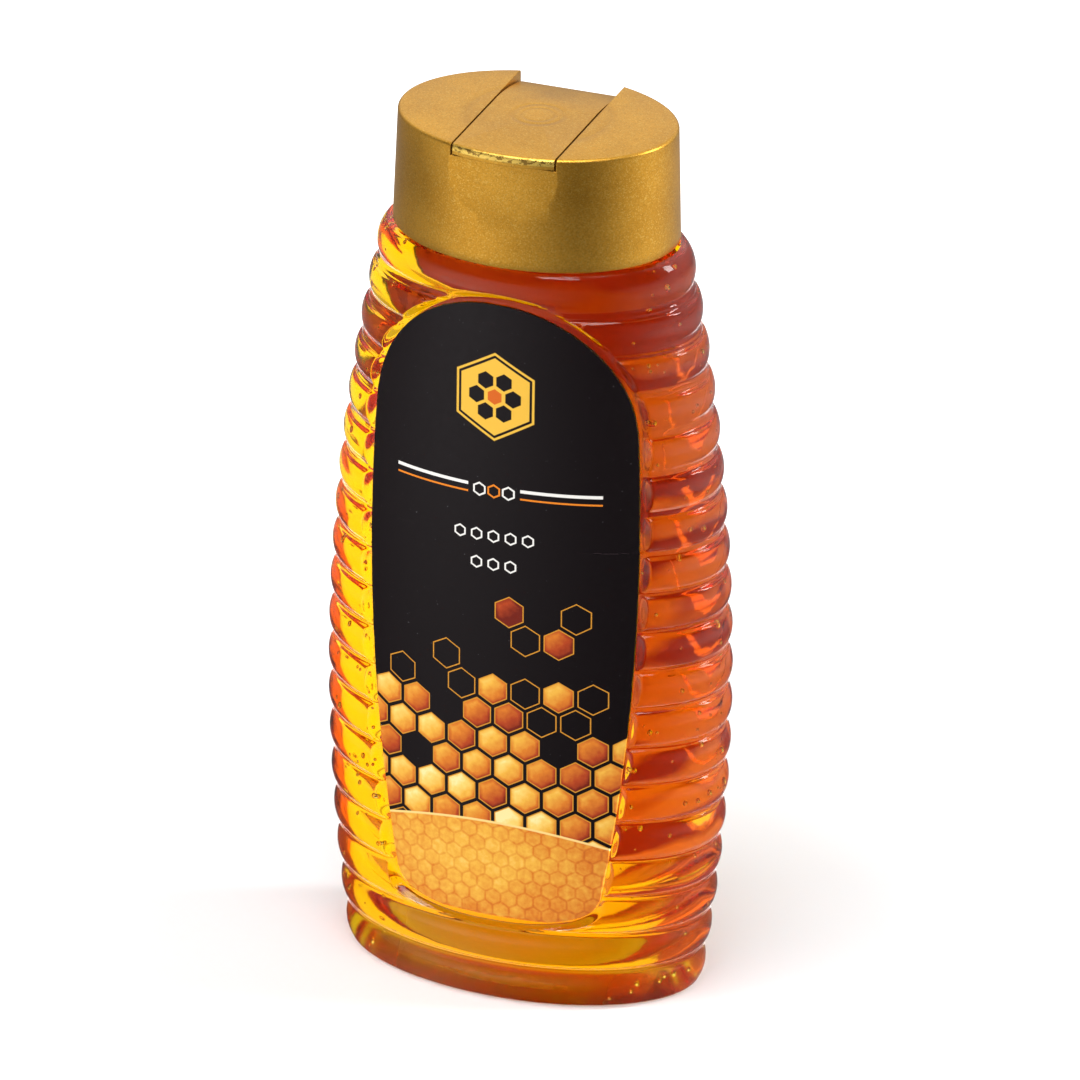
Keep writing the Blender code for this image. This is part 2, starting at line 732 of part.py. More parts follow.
def lid_side_outline():
    """Side view of the lid as (y, z): lip at the front, sloping down to the hinge."""
    beyond = CAP_TOP_HALF_DEPTH + OVERRUN
    above = CAP_TOP + OVERRUN
    lip_inside = -CAP_TOP_HALF_DEPTH + LID_LIP_DEPTH
    top = [(-beyond, LID_LIP_BOTTOM), (-beyond, above), (LID_SLOPE_START, above)]
    bottom = []
    for i in range(LID_SLOPE_STEPS + 1):
        share = i / LID_SLOPE_STEPS
        y = LID_SLOPE_START + (LID_REAR_Y - LID_SLOPE_START) * share
        drop = LID_REAR_DROP * share ** 2
        thickness = LID_THICKNESS + (LID_REAR_THICKNESS - LID_THICKNESS) * share
        top.append((y, CAP_TOP - drop))
        bottom.append((y, CAP_TOP - drop - thickness))
    under = [(lip_inside, LID_UNDERSIDE), (lip_inside, LID_LIP_BOTTOM)]
    return top + list(reversed(bottom)) + under


def make_flip_lid():
    form = bmesh.new()
    outline = lid_side_outline()
    left = [form.verts.new((-LID_HALF_WIDTH, y, z)) for y, z in outline]
    right = [form.verts.new((LID_HALF_WIDTH, y, z)) for y, z in outline]
    form.faces.new(left)
    form.faces.new(tuple(reversed(right)))
    for i in range(len(outline)):
        j = (i + 1) % len(outline)
        form.faces.new((left[i], right[i], right[j], left[j]))
    bmesh.ops.recalc_face_normals(form, faces=form.faces)
    mesh = bpy.data.meshes.new("lid_slab")
    form.to_mesh(mesh)
    form.free()
    slab = mesh_object("lid_slab", mesh, CUTTERS)
    combine(slab, cap_blank("lid_blank"), "INTERSECT")
    root = LID_UNDERSIDE + LID_THICKNESS / 2
    rings = (
        ("plug_ring", PLUG_RADIUS, PLUG_WALL, PLUG_REACH),
        ("stopper_ring", STOPPER_RADIUS, STOPPER_WALL, STOPPER_REACH),
    )
    for name, radius, wall, reach in rings:
        ring = turned(name, [
            (radius, root),
            (radius, LID_UNDERSIDE - reach),
            (radius - wall, LID_UNDERSIDE - reach),
            (radius - wall, root),
        ], CUTTERS)
        combine(slab, ring, "UNION")
    mesh = settled(slab, "flip_lid")
    for vert in mesh.vertices:
        vert.co.y -= HINGE_Y
        vert.co.z -= HINGE_Z
    lid = mesh_object("flip_lid", mesh, PARTS, GOLD_PLASTIC)
    lid.location = (0.0, HINGE_Y, HINGE_Z)
    bpy.data.objects.remove(slab, do_unlink=True)
    return lid


def make_living_hinge():
    floor = DECK_TOP - HINGE_RECESS + SEAT_GAP
    web = block(
        "living_hinge",
        (-HINGE_WEB_HALF_WIDTH, HINGE_Y - HINGE_WEB_LENGTH / 2, floor),
        (HINGE_WEB_HALF_WIDTH, HINGE_Y + HINGE_WEB_LENGTH / 2, floor + HINGE_WEB_THICKNESS),
    )
    CUTTERS.objects.unlink(web)
    PARTS.objects.link(web)
    web.hide_render = False
    web.display_type = "TEXTURED"
    web.data.materials.append(GOLD_PLASTIC)
    return web


# Seal and valve

def make_mouth_seal():
    radius = NECK_RADIUS - NECK_LIP
    return turned("mouth_seal", [
        (0.0, SEAL_TOP),
        (radius, SEAL_TOP),
        (radius, SEAL_BOTTOM),
        (0.0, SEAL_BOTTOM),
    ], PARTS, SEAL_FOIL)


def make_valve_ring():
    return turned("valve_ring", [
        (VALVE_RADIUS, VALVE_RING_TOP),
        (VALVE_RADIUS, VALVE_RING_BOTTOM),
        (VALVE_RING_BORE, VALVE_RING_BOTTOM),
        (VALVE_RING_BORE, VALVE_RING_TOP),
    ], PARTS, WHITE_PLASTIC)


def make_valve():
    """A flanged silicone dish with a crossed slit through its middle."""
    dish_bottom = VALVE_BOTTOM + VALVE_SKIN / 2 - VALVE_DISH_DEPTH
    valve = turned("valve", [
        (0.0, dish_bottom + VALVE_SKIN),
        (VALVE_DISH_RADIUS / 2, dish_bottom + VALVE_SKIN + VALVE_DISH_DEPTH / 4),
        (VALVE_DISH_RADIUS, VALVE_TOP),
        (VALVE_RADIUS, VALVE_TOP),
        (VALVE_RADIUS, VALVE_BOTTOM),
        (VALVE_FLANGE_BORE, VALVE_BOTTOM),
        (VALVE_DISH_RADIUS / 2, dish_bottom + VALVE_DISH_DEPTH / 4),
        (0.0, dish_bottom),
    ], PARTS, SILICONE)
    reach = VALVE_SLIT / 2
    half = VALVE_SLIT_WIDTH / 2
    for name, x, y in (("slit_across", reach, half), ("slit_along", half, reach)):
        slit = block(name, (-x, -y, dish_bottom - OVERRUN), (x, y, VALVE_TOP + OVERRUN))
        combine(valve, slit, "DIFFERENCE")
    return valve


make_bottle()
make_honey()
make_label("front_label", -1, LABEL_SLANT_SHARE)
make_label("back_label", 1, 0.0)
make_mouth_seal()
make_closure_base()
make_valve_ring()
make_valve()
make_flip_lid()
make_living_hinge()
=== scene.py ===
"""A ribbed squeeze bottle full of honey, under a gold oval flip-top closure."""

import math

import bmesh
import bpy
import numpy as np
from mathutils import Matrix, Vector


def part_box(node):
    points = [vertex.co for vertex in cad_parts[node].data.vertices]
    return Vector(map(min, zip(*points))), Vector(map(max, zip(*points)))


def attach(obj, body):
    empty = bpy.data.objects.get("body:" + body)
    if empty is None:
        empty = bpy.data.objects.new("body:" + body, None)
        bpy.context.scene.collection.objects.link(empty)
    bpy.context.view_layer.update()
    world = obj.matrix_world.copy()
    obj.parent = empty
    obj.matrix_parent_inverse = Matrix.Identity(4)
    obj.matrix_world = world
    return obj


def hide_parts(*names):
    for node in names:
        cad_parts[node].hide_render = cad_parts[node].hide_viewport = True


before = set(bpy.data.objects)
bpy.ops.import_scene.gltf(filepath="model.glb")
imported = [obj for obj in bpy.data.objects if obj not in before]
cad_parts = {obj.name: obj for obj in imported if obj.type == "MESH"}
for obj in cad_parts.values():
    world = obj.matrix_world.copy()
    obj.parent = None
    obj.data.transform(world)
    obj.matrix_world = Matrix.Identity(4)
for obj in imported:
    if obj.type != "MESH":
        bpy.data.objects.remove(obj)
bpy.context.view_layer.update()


# Bottle
# The bottle is blown in one piece from clear PET: an oval body with stacked round ribs, a flat
# recess for the label front and back, a ledge that the closure turns on, and a threaded neck.
# The smooth swell is lofted first, and a node tree then presses the ribs and recesses into it.

MM = 0.001


def mm(*sizes):
    """Sizes in millimetres, in metres."""
    return tuple(size * MM for size in sizes)


RIBS = 19
RIB_PITCH = 8.0 * MM
RIB_RADIUS = 7.3 * MM
GROOVE_FILLET = 0.25 * MM
NOTCH_DEPTH, NOTCH_WIDTH = mm(0.3, 0.36)
RIB_ROWS = (0.0, 0.1, 0.2, 0.29, 0.36, 0.41, 0.44, 0.463, 0.482, 0.5)
FIRST_RIB = 4.3 * MM
LAST_RIB = FIRST_RIB + (RIBS - 1) * RIB_PITCH
WIDEST = 60.0 * MM
HALF_WIDTHS = mm(36.5, 40.6, 31.2)
HALF_DEPTHS = mm(22.0, 22.4, 21.0)
PUSH_UP = ((0.2, 3.0 * MM), (0.45, 2.9 * MM), (0.7, 2.5 * MM), (0.93, 1.7 * MM))
PANEL_TOP, PANEL_FOOT = mm(147.3, 16.3)
PANEL_HALF_WIDTH, PANEL_LEAST = mm(28.6, 12.0)
PANEL_NARROWING, PANEL_WIDEST, PANEL_DROP = mm(5.7, 97.0, 70.0)
PANEL_ARCH, PANEL_CORNER = mm(28.0, 9.5)
PANEL_SQUARENESS = (2.1, 3.2)
PANEL_DEPTH, PANEL_STEP = mm(1.7, 1.3)
PET_WALL = 0.3 * MM
LEDGE, LEDGE_CORNER = mm(153.6, 1.2)
NECK_RADIUS, NECK_BORE, NECK_TOP = mm(15.15, 13.6, 170.0)
NECK_FILLET, RIM_ROUND, NECK_ROW = mm(1.2, 0.4, 0.3)
THREAD_LEAD, THREAD_START, THREAD_TURNS = 4.23 * MM, 160.0 * MM, 1.2
THREAD_HEIGHT, THREAD_FOOT, THREAD_SLOPE = mm(1.0, 1.1, 0.6)
THREAD_RUN_OUTS = 12
HONEY_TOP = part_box("honey")[1][2]


def swell(z, sizes):
    """A half width or half depth of the smooth body at height z, and its slope."""
    low, widest, high = sizes
    span = np.where(z < WIDEST, WIDEST - FIRST_RIB, LAST_RIB - WIDEST)
    drop = np.where(z < WIDEST, widest - low, widest - high)
    reach = (z - WIDEST) / span
    return widest - drop * reach ** 2, -2 * drop * reach / span


def panel_level(x, z):
    """Under 0 inside the label panel's outline, 0 on it and over 0 outside."""
    side = PANEL_HALF_WIDTH - PANEL_NARROWING * ((z - PANEL_WIDEST) / PANEL_DROP) ** 2
    arch = np.clip(1 - (PANEL_TOP - z) / PANEL_ARCH, 0, None)
    corner = np.clip(1 - (z - PANEL_FOOT) / PANEL_CORNER, 0, None)
    power = np.where(z > PANEL_WIDEST, *PANEL_SQUARENESS)
    return (np.abs(x) / side) ** power + arch ** power + corner ** power - 1


def panel_distance(x, z):
    """Signed distance to the panel's outline, under 0 inside."""
    tiny = 0.02 * MM
    along_x = panel_level(np.abs(x) + tiny, z) - panel_level(np.abs(x) - tiny, z)
    along_z = panel_level(x, z + tiny) - panel_level(x, z - tiny)
    slope = np.hypot(along_x / (2 * tiny), along_z / (2 * tiny))
    return panel_level(x, z) / np.maximum(slope, 1.0)


def panel_half_width(z, inset=0.0):
    """Half width of the panel's outline at height z, drawn in all round by an inset."""
    xs = np.linspace(0, PANEL_HALF_WIDTH, 400)
    inside = xs[panel_distance(xs, np.full_like(xs, z)) < -inset]
    return inside.max() if len(inside) else 0.0


def quarter_angles(z):
    """Angles of the points of a quarter ring, front to side, crowded at the panel's edge."""
    edge = max(panel_half_width(z), PANEL_LEAST)
    middle = np.linspace(0, edge - PANEL_STEP, 8, endpoint=False)
    step = np.linspace(edge - PANEL_STEP, edge + PANEL_STEP, 9)
    front = np.arccos(np.concatenate([middle, step]) / swell(z, HALF_WIDTHS)[0])
    return np.concatenate([front, np.linspace(front[-1], 0, 17)[1:]])


def full_ring(quarter):
    """Angles of a whole ring, anticlockwise from the front, from those of its first quarter."""
    half = np.concatenate([-quarter, quarter[::-1][1:]])
    return np.concatenate([half, (math.pi - half[::-1])[1:-1]])


def oval_rows(rows, angles):
    """Points of plain oval rings, each given as (half width, half depth, height)."""
    width, depth, height = (np.array(size)[:, None] for size in zip(*rows))
    flat = np.ones_like(angles)
    return np.stack([width * np.cos(angles), depth * np.sin(angles), height * flat], axis=-1)


def round_rows(profile, angles):
    """Points of round rings, each given as (radius, height)."""
    return oval_rows([(r, r, z) for r, z in profile], angles)


def arc(centre, radius, start, end, count):
    """Points (across, up) of an arc, with its angles in degrees."""
    angles = np.radians(np.linspace(start, end, count))
    return [(centre[0] + radius * math.cos(a), centre[1] + radius * math.sin(a)) for a in angles]


def lofted(name, rings):
    """A closed mesh over rings of equal count, with a pole in the middle of both ends."""
    rings = np.asarray(rings)
    rows, count = rings.shape[:2]
    poles = [rings[0].mean(axis=0), rings[-1].mean(axis=0)]
    points = np.concatenate([rings.reshape(-1, 3), poles])
    low = np.arange((rows - 1) * count)
    turn = low - low % count + (low + 1) % count
    faces = np.stack([low, turn, turn + count, low + count], axis=1).tolist()
    first = np.arange(count)
    after = (first + 1) % count
    last = (rows - 1) * count
    pole = np.full(count, rows * count)
    faces += np.stack([after, first, pole], axis=1).tolist()
    faces += np.stack([last + first, last + after, pole + 1], axis=1).tolist()
    mesh = bpy.data.meshes.new(name)
    mesh.from_pydata(points.tolist(), [], faces)
    mesh.shade_smooth()
    return mesh


def linked(name, mesh):
    """A new object of a mesh, or of a bmesh, which is then freed."""
    if isinstance(mesh, bmesh.types.BMesh):
        form, mesh = mesh, bpy.data.meshes.new(name)
        form.to_mesh(mesh)
        form.free()
    made = bpy.data.objects.new(name, mesh)
    bpy.context.scene.collection.objects.link(made)
    return made


rib_rows = RIB_ROWS + tuple(1 - share for share in RIB_ROWS[-2:0:-1])
rib_heights = [FIRST_RIB + RIB_PITCH * (k + share) for k in range(RIBS - 1) for share in rib_rows]
rib_heights.append(LAST_RIB)
body_angles = np.array([full_ring(quarter_angles(z)) for z in rib_heights])
top_angles = body_angles[-1]
body_z = np.repeat(np.array(rib_heights)[:, None], len(top_angles), axis=1)
body_width, body_slope = swell(body_z, HALF_WIDTHS)
body_outward = np.stack([np.cos(body_angles), np.sin(body_angles), np.zeros_like(body_z)], axis=-1)
body_depth = swell(body_z, HALF_DEPTHS)[0]
body = body_outward * np.stack([body_width, body_depth, body_z], axis=-1)
body[..., 2] = body_z
step = np.clip(0.5 - panel_distance(body[..., 0], body_z) / PANEL_STEP, 0, 1)
body_panel = step * step * (3 - 2 * step)


def put(value, entry):
    """Links a field or a socket to a node's entry, or sets the entry to a plain value."""
    value = getattr(value, "socket", value)
    if isinstance(value, bpy.types.NodeSocket):
        entry.id_data.links.new(value, entry)
    else:
        entry.default_value = value


def added(tree, kind, **entries):
    """A new node with entries linked or set by name."""
    node = tree.nodes.new(kind)
    for label, value in entries.items():
        put(value, node.inputs[label.replace("_", " ")])
    return node


def worked(operation, *values):
    """The result of a math node on fields and numbers."""
    tree = next(value.socket.id_data for value in values if isinstance(value, Field))
    node = tree.nodes.new("ShaderNodeMath")
    node.operation = operation
    for entry, value in zip(node.inputs, values):
        put(value, entry)
    return Field(node.outputs[0])


class Field:
    """A value in a node tree that takes plain arithmetic."""

    def __init__(self, socket):
        self.socket = socket

    def __add__(self, other):
        return worked("ADD", self, other)

    def __sub__(self, other):
        return worked("SUBTRACT", self, other)

    def __rsub__(self, other):
        return worked("SUBTRACT", other, self)

    def __mul__(self, other):
        return worked("MULTIPLY", self, other)

    def __truediv__(self, other):
        return worked("DIVIDE", self, other)

    def __mod__(self, other):
        return worked("FLOORED_MODULO", self, other)

    def __lt__(self, other):
        return worked("LESS_THAN", self, other)

    def __gt__(self, other):
        return worked("GREATER_THAN", self, other)

    def __abs__(self):
        return worked("ABSOLUTE", self)

    def spread(self, low, high, to_low, to_high):
        """This value with the range from low to high mapped to another, and held at its ends."""
        node = added(
            self.socket.id_data, "ShaderNodeMapRange",
            Value=self, From_Min=low, From_Max=high, To_Min=to_low, To_Max=to_high,
        )
        return Field(node.outputs["Result"])


def axes(vector):
    """The X, Y and Z of a vector socket."""
    return [Field(s) for s in added(vector.id_data, "ShaderNodeSeparateXYZ", Vector=vector).outputs]


def scaled(vector, share):
    """A vector socket times a field."""
    node = vector.id_data.nodes.new("ShaderNodeVectorMath")
    node.operation = "SCALE"
    put(vector, node.inputs[0])
    put(share, node.inputs["Scale"])
    return node.outputs[0]


def new_tree(name, inputs):
    """A geometry node tree with named inputs: the tree, its ends and its input fields."""
    tree = bpy.data.node_groups.new(name, "GeometryNodeTree")
    tree.interface.new_socket("Geometry", in_out="INPUT", socket_type="NodeSocketGeometry")
    tree.interface.new_socket("Geometry", in_out="OUTPUT", socket_type="NodeSocketGeometry")
    for label, kind in inputs.items():
        tree.interface.new_socket(label, in_out="INPUT", socket_type="NodeSocket" + kind)
    start = tree.nodes.new("NodeGroupInput")
    end = tree.nodes.new("NodeGroupOutput")
    fields = {label: Field(start.outputs[label]) for label in inputs}
    return tree, start.outputs["Geometry"], end.inputs["Geometry"], fields


def grown(host, tree, values):
    """The mesh that a node tree makes of a host, which is then removed."""
    step = host.modifiers.new(tree.name, "NODES")
    step.node_group = tree
    for entry in tree.interface.items_tree:
        if entry.in_out == "INPUT" and entry.name in values:
            step[entry.identifier] = values[entry.name]
    graph = bpy.context.evaluated_depsgraph_get()
    mesh = bpy.data.meshes.new_from_object(host.evaluated_get(graph))
    bpy.data.objects.remove(host, do_unlink=True)
    return mesh


def attribute(tree, name, kind="FLOAT"):
    node = tree.nodes.new("GeometryNodeInputNamedAttribute")
    node.data_type = kind
    node.inputs["Name"].default_value = name
    return Field(node.outputs["Attribute"])


def rib_tree(sizes):
    """Presses round ribs, and the recesses beside them, into a smooth swelling body."""
    tree, start, end, size = new_tree("round_ribs", dict.fromkeys(sizes, "Float"))
    height = axes(added(tree, "GeometryNodeInputPosition").outputs[0])[2] - size["First Rib"]
    slope = attribute(tree, "slope")
    above = height % size["Rib Pitch"]
    below = size["Rib Pitch"] - above
    square = size["Rib Radius"] * size["Rib Radius"]
    lower = worked("SQRT", square - above * above) - slope * above
    upper = worked("SQRT", square - below * below) + slope * below
    crest = worked("SMOOTH_MAX", lower, upper, size["Groove Fillet"])
    share = (above - below) * 0.5 / size["Notch Width"]
    notch = worked("EXPONENT", share * share * -1.0) * size["Notch Depth"]
    ribs = size["Rib Radius"] - crest + notch
    depth = ribs + (size["Panel Depth"] - ribs) * attribute(tree, "panel")
    push = scaled(attribute(tree, "outward", "FLOAT_VECTOR").socket, depth * -1.0)
    put(added(tree, "GeometryNodeSetPosition", Geometry=start, Offset=push).outputs[0], end)
    return tree


smooth_body = lofted("smooth_body", body)
poles = [0.0, 0.0]
for name, kind, field, values in (
    ("slope", "FLOAT", "value", np.concatenate([body_slope.ravel(), poles])),
    ("panel", "FLOAT", "value", np.concatenate([body_panel.ravel(), poles])),
    ("outward", "FLOAT_VECTOR", "vector", np.concatenate([body_outward.ravel(), poles * 3])),
):
    smooth_body.attributes.new(name, kind, "POINT").data.foreach_set(field, values)
rib_sizes = {
    "First Rib": FIRST_RIB,
    "Rib Pitch": RIB_PITCH,
    "Rib Radius": RIB_RADIUS,
    "Groove Fillet": GROOVE_FILLET,
    "Notch Depth": NOTCH_DEPTH,
    "Notch Width": NOTCH_WIDTH,
    "Panel Depth": PANEL_DEPTH,
}
ribbed = grown(linked("smooth_body", smooth_body), rib_tree(rib_sizes), rib_sizes)
flat_points = np.zeros(len(ribbed.vertices) * 3)
ribbed.vertices.foreach_get("co", flat_points)
body = flat_points.reshape(-1, 3)[:-2].reshape(body.shape)

foot_width, foot_depth = HALF_WIDTHS[0] - RIB_RADIUS, HALF_DEPTHS[0] - RIB_RADIUS
foot_profile = arc(mm(1.7, 0.9), 0.9 * MM, 215, 270, 4)
foot_profile += arc(mm(5.2, 1.4), 1.4 * MM, 270, 318, 6)
foot_profile += arc((0, FIRST_RIB), RIB_RADIUS, -28, 0, 9)[:-1]
foot_sizes = [(foot_width * share, foot_depth * share, z) for share, z in PUSH_UP]
foot_sizes += [(foot_width + i, foot_depth + i, z) for i, z in foot_profile]
foot = oval_rows(foot_sizes, body_angles[0])

top_width, top_depth = HALF_WIDTHS[2] - RIB_RADIUS, HALF_DEPTHS[2] - RIB_RADIUS
shoulder_profile = arc((0, LAST_RIB), RIB_RADIUS, 0, 42, 14)[1:]
shoulder_profile += arc((3.9 * MM, LEDGE - LEDGE_CORNER), LEDGE_CORNER, 50, 90, 5)
shoulder = oval_rows([(top_width + i, top_depth + i, z) for i, z in shoulder_profile], top_angles)
ledge_corner = (NECK_RADIUS + NECK_FILLET, LEDGE + NECK_FILLET)
ledge = round_rows(arc(ledge_corner, NECK_FILLET, 270, 180, 6), top_angles)

neck_heights = np.arange(ledge_corner[1] + NECK_ROW, NECK_TOP - RIM_ROUND, NECK_ROW)
neck_z = np.repeat(neck_heights[:, None], len(top_angles), axis=1)
turn = (top_angles % (2 * math.pi)) / (2 * math.pi)
ridge = np.zeros_like(neck_z)
for lap in (0, 1):
    run = np.minimum(turn + lap, THREAD_TURNS - turn - lap)
    off = np.abs(neck_z - THREAD_START - THREAD_LEAD * (turn + lap))
    rise = np.clip((THREAD_FOOT - off) / THREAD_SLOPE, 0, 1)
    ridge = np.maximum(ridge, np.clip(run * THREAD_RUN_OUTS, 0, 1) * rise)
neck_radius = NECK_RADIUS + THREAD_HEIGHT * ridge
neck_x, neck_y = neck_radius * np.cos(top_angles), neck_radius * np.sin(top_angles)
neck = np.stack([neck_x, neck_y, neck_z], axis=-1)
rim_profile = arc((NECK_RADIUS - RIM_ROUND, NECK_TOP - RIM_ROUND), RIM_ROUND, 0, 90, 5)
rim_profile += arc((NECK_BORE + RIM_ROUND, NECK_TOP - RIM_ROUND), RIM_ROUND, 90, 180, 5)
rim_profile += [(NECK_BORE, LEDGE + 2 * MM), (NECK_BORE, LEDGE + 1 * MM)]
rim = round_rows(rim_profile, top_angles)


def drawn_in(rings, distance):
    """The same rings moved inwards, square to the surface that they span."""
    up = np.gradient(rings, axis=0)
    round_ = np.roll(rings, -1, axis=1) - np.roll(rings, 1, axis=1)
    normal = np.cross(round_, up)
    normal /= np.linalg.norm(normal, axis=-1, keepdims=True)
    return rings - distance * normal


outside = np.concatenate([foot, body, shoulder, ledge[:1]])
shell = [outside, ledge[1:], neck, rim, drawn_in(outside, PET_WALL)[::-1]]
bottle = linked("clear_bottle", lofted("clear_bottle", np.concatenate(shell)))


def shading(name, **settings):
    """A new material with its Principled shader's own sockets set."""
    made = bpy.data.materials.new(name)
    made.use_nodes = True
    shader = made.node_tree.nodes["Principled BSDF"]
    for label, value in settings.items():
        shader.inputs[label.replace("_", " ")].default_value = value
    return made, made.node_tree, shader


def object_place(tree):
    return added(tree, "ShaderNodeTexCoord").outputs["Object"]


def noise(tree, scale, detail, place=None):
    """Noise on Object coordinates, or on a given vector socket."""
    place = place or object_place(tree)
    made = added(tree, "ShaderNodeTexNoise", Vector=place, Scale=scale, Detail=detail)
    return Field(made.outputs["Fac"])


def ramped(share, stops, blend="LINEAR"):
    """The colour at a share of a ramp with stops of (place, colour)."""
    node = added(share.socket.id_data, "ShaderNodeValToRGB", Fac=share)
    ramp = node.color_ramp
    ramp.interpolation = blend
    while len(ramp.elements) < len(stops):
        ramp.elements.new(0.5)
    for stop, (place, colour) in zip(ramp.elements, stops):
        stop.position, stop.color = place, colour
    return Field(node.outputs[0])


def bumped(shader, source, distance):
    """Adds a bump of a height in metres to a shader's normal, over any bump there."""
    normal = shader.inputs["Normal"]
    bump = added(shader.id_data, "ShaderNodeBump", Strength=1.0, Distance=distance, Height=source)
    if normal.links:
        put(normal.links[0].from_socket, bump.inputs["Normal"])
    put(bump.outputs["Normal"], normal)


def pet(name, bend, dark, light):
    """Clear PET that bends light by an index, faintly clouded where it was blown thinner."""
    made, tree, shader = shading(name, Transmission_Weight=1.0, IOR=bend, Roughness=0.0)
    clouds = noise(tree, 60.0, 3.0)
    tone = ramped(clouds, [(0.0, (dark, dark, dark, 1.0)), (1.0, (light, light, light, 1.0))])
    put(tone, shader.inputs["Base Color"])
    bumped(shader, clouds, 0.1 * MM)
    return made


bottle.data.materials.append(pet("wetted_pet", 1.0, 0.985, 1.0))
bottle.data.materials.append(pet("neck_pet", 1.5, 0.93, 0.98))
for face in bottle.data.polygons:
    face.material_index = 1 if face.center.z > HONEY_TOP - 0.1 * MM else 0
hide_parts("bottle")
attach(bottle, "bottle")


# Honey
# Clear blossom honey that fills the bottle up into the neck, where it ends in a level surface.
# It takes its colour from its depth: yellow where it is thin, red-brown where it is thick. Air
# bubbles are hollows in it near the wall, and the base's texture makes it hazy underneath.

HONEY_GAP = 0.02 * MM
HONEY_SKIN = 0.07
HONEY_TINT, TINT_DENSITY = (0.990, 0.919, 0.033, 1.0), 300.0
BUBBLE_SIZES = {
    "Least Radius": 0.18 * MM,
    "Greatest Radius": 0.55 * MM,
    "Per Area": 26000.0,
    "Side From": 24.0 * MM,
    "Least Depth": 1.0 * MM,
    "Greatest Depth": 3.5 * MM,
}
BASE_HEIGHT = 3.4 * MM
HAZE_FROM, HAZE_TO = mm(16.0, 30.0)
HAZE_MIDDLE, HAZE_ENDS = 0.33, 0.14

honey_wall = drawn_in(outside, PET_WALL + HONEY_GAP)
honey_bore = NECK_BORE - HONEY_GAP
honey_surface = round_rows([
    (honey_bore, LEDGE + 1 * MM),
    (honey_bore, HONEY_TOP),
    (12.8 * MM, HONEY_TOP - 0.3 * MM),
    (8 * MM, HONEY_TOP - 0.4 * MM),
], top_angles)
honey_mesh = lofted("honey_fill", np.concatenate([honey_wall, honey_surface]))


def honey_behind(name):
    """Clear honey as it looks behind one kind of wall, with its shader."""
    made, tree, shader = shading(name, Transmission_Weight=1.0, IOR=1.49, Roughness=HONEY_SKIN)
    depth = added(tree, "ShaderNodeVolumeAbsorption", Color=HONEY_TINT, Density=TINT_DENSITY)
    put(depth.outputs[0], tree.nodes["Material Output"].inputs["Volume"])
    bumped(shader, noise(tree, 110.0, 2.0), 0.12 * MM)
    return made, shader


honey = honey_behind("clear_honey")[0]
honey_on_base, shader = honey_behind("honey_on_base")
aside = abs(axes(object_place(shader.id_data))[0])
haze = aside.spread(HAZE_FROM, HAZE_TO, HAZE_MIDDLE, HAZE_ENDS)
put(haze, shader.inputs["Roughness"])


def bubble_tree():
    """Scatters small spheres a little way inside a surface, over its two narrow sides."""
    kinds = dict.fromkeys(BUBBLE_SIZES, "Float")
    tree, start, end, size = new_tree("bubbles", kinds | {"Seed": "Int", "Material": "Material"})
    x = axes(added(tree, "GeometryNodeInputPosition").outputs[0])[0]
    sides, density, seed = abs(x) > size["Side From"], size["Per Area"], size["Seed"]
    scatter = added(
        tree, "GeometryNodeDistributePointsOnFaces",
        Mesh=start, Selection=sides, Density=density, Seed=seed,
    )

    def random(low, high):
        node = added(tree, "FunctionNodeRandomValue", Seed=seed)
        put(size[low], node.inputs[2])
        put(size[high], node.inputs[3])
        return Field(node.outputs[1])

    sink = scaled(scatter.outputs["Normal"], random("Least Depth", "Greatest Depth") * -1.0)
    points = added(tree, "GeometryNodeSetPosition", Geometry=scatter.outputs["Points"], Offset=sink)
    ball = added(tree, "GeometryNodeMeshIcoSphere", Radius=1.0, Subdivisions=2)
    balls = added(
        tree, "GeometryNodeInstanceOnPoints",
        Points=points.outputs[0],
        Instance=ball.outputs["Mesh"],
        Scale=random("Least Radius", "Greatest Radius"),
    )
    real = added(tree, "GeometryNodeRealizeInstances", Geometry=balls.outputs[0]).outputs[0]
    paint = added(tree, "GeometryNodeSetMaterial", Geometry=real, Material=size["Material"])
    put(paint.outputs[0], end)
    return tree


bubble_host = linked("bubble_host", honey_mesh.copy())
bubbles = grown(bubble_host, bubble_tree(), BUBBLE_SIZES | {"Seed": 7, "Material": honey})
hollowed = bmesh.new()
hollowed.from_mesh(bubbles)
bmesh.ops.recalc_face_normals(hollowed, faces=hollowed.faces)
bmesh.ops.reverse_faces(hollowed, faces=hollowed.faces)
hollowed.from_mesh(honey_mesh)
hollowed.to_mesh(honey_mesh)
hollowed.free()
honey_mesh.shade_smooth()
honey_mesh.materials.clear()
honey_mesh.materials.append(honey)
honey_mesh.materials.append(honey_on_base)
for face in honey_mesh.polygons[len(bubbles.polygons):]:
    face.material_index = int(face.center.z < BASE_HEIGHT and face.normal.z < -0.5)
honey_fill = linked("honey_fill", honey_mesh)
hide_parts("honey")
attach(honey_fill, "bottle")


# Labels
# Two labels of black satin film, cut to the panels' outline less an even border, printed with
# an amber foot and a scatter of honeycomb cells. The glue wets their inner side in patches, and
# leaves no air behind it, so the film's back reaches through the clear wall.

LABEL_BORDER = 1.8 * MM
LABEL_LIFT, LABEL_FILM = mm(0.04, 0.1)
LABEL_SLANT = 0.012
LABEL_MIDDLE = (PANEL_FOOT + PANEL_TOP) / 2
GLUE_REACH = PET_WALL + HONEY_GAP + 0.03 * MM
FRONT_GLUE = ((0.28, 0.11, 0.07, 1), (0.60, 0.48, 0.38, 1))
BACK_GLUE = ((0.45, 0.12, 0.07, 1), (0.97, 0.95, 0.90, 1))
# Heights and amount of the painted shade that darkens the glued side towards the top.
ARCH_SHADE_FROM, ARCH_SHADE_TO = mm(112.0, 134.0)
ARCH_SHADE = 0.8

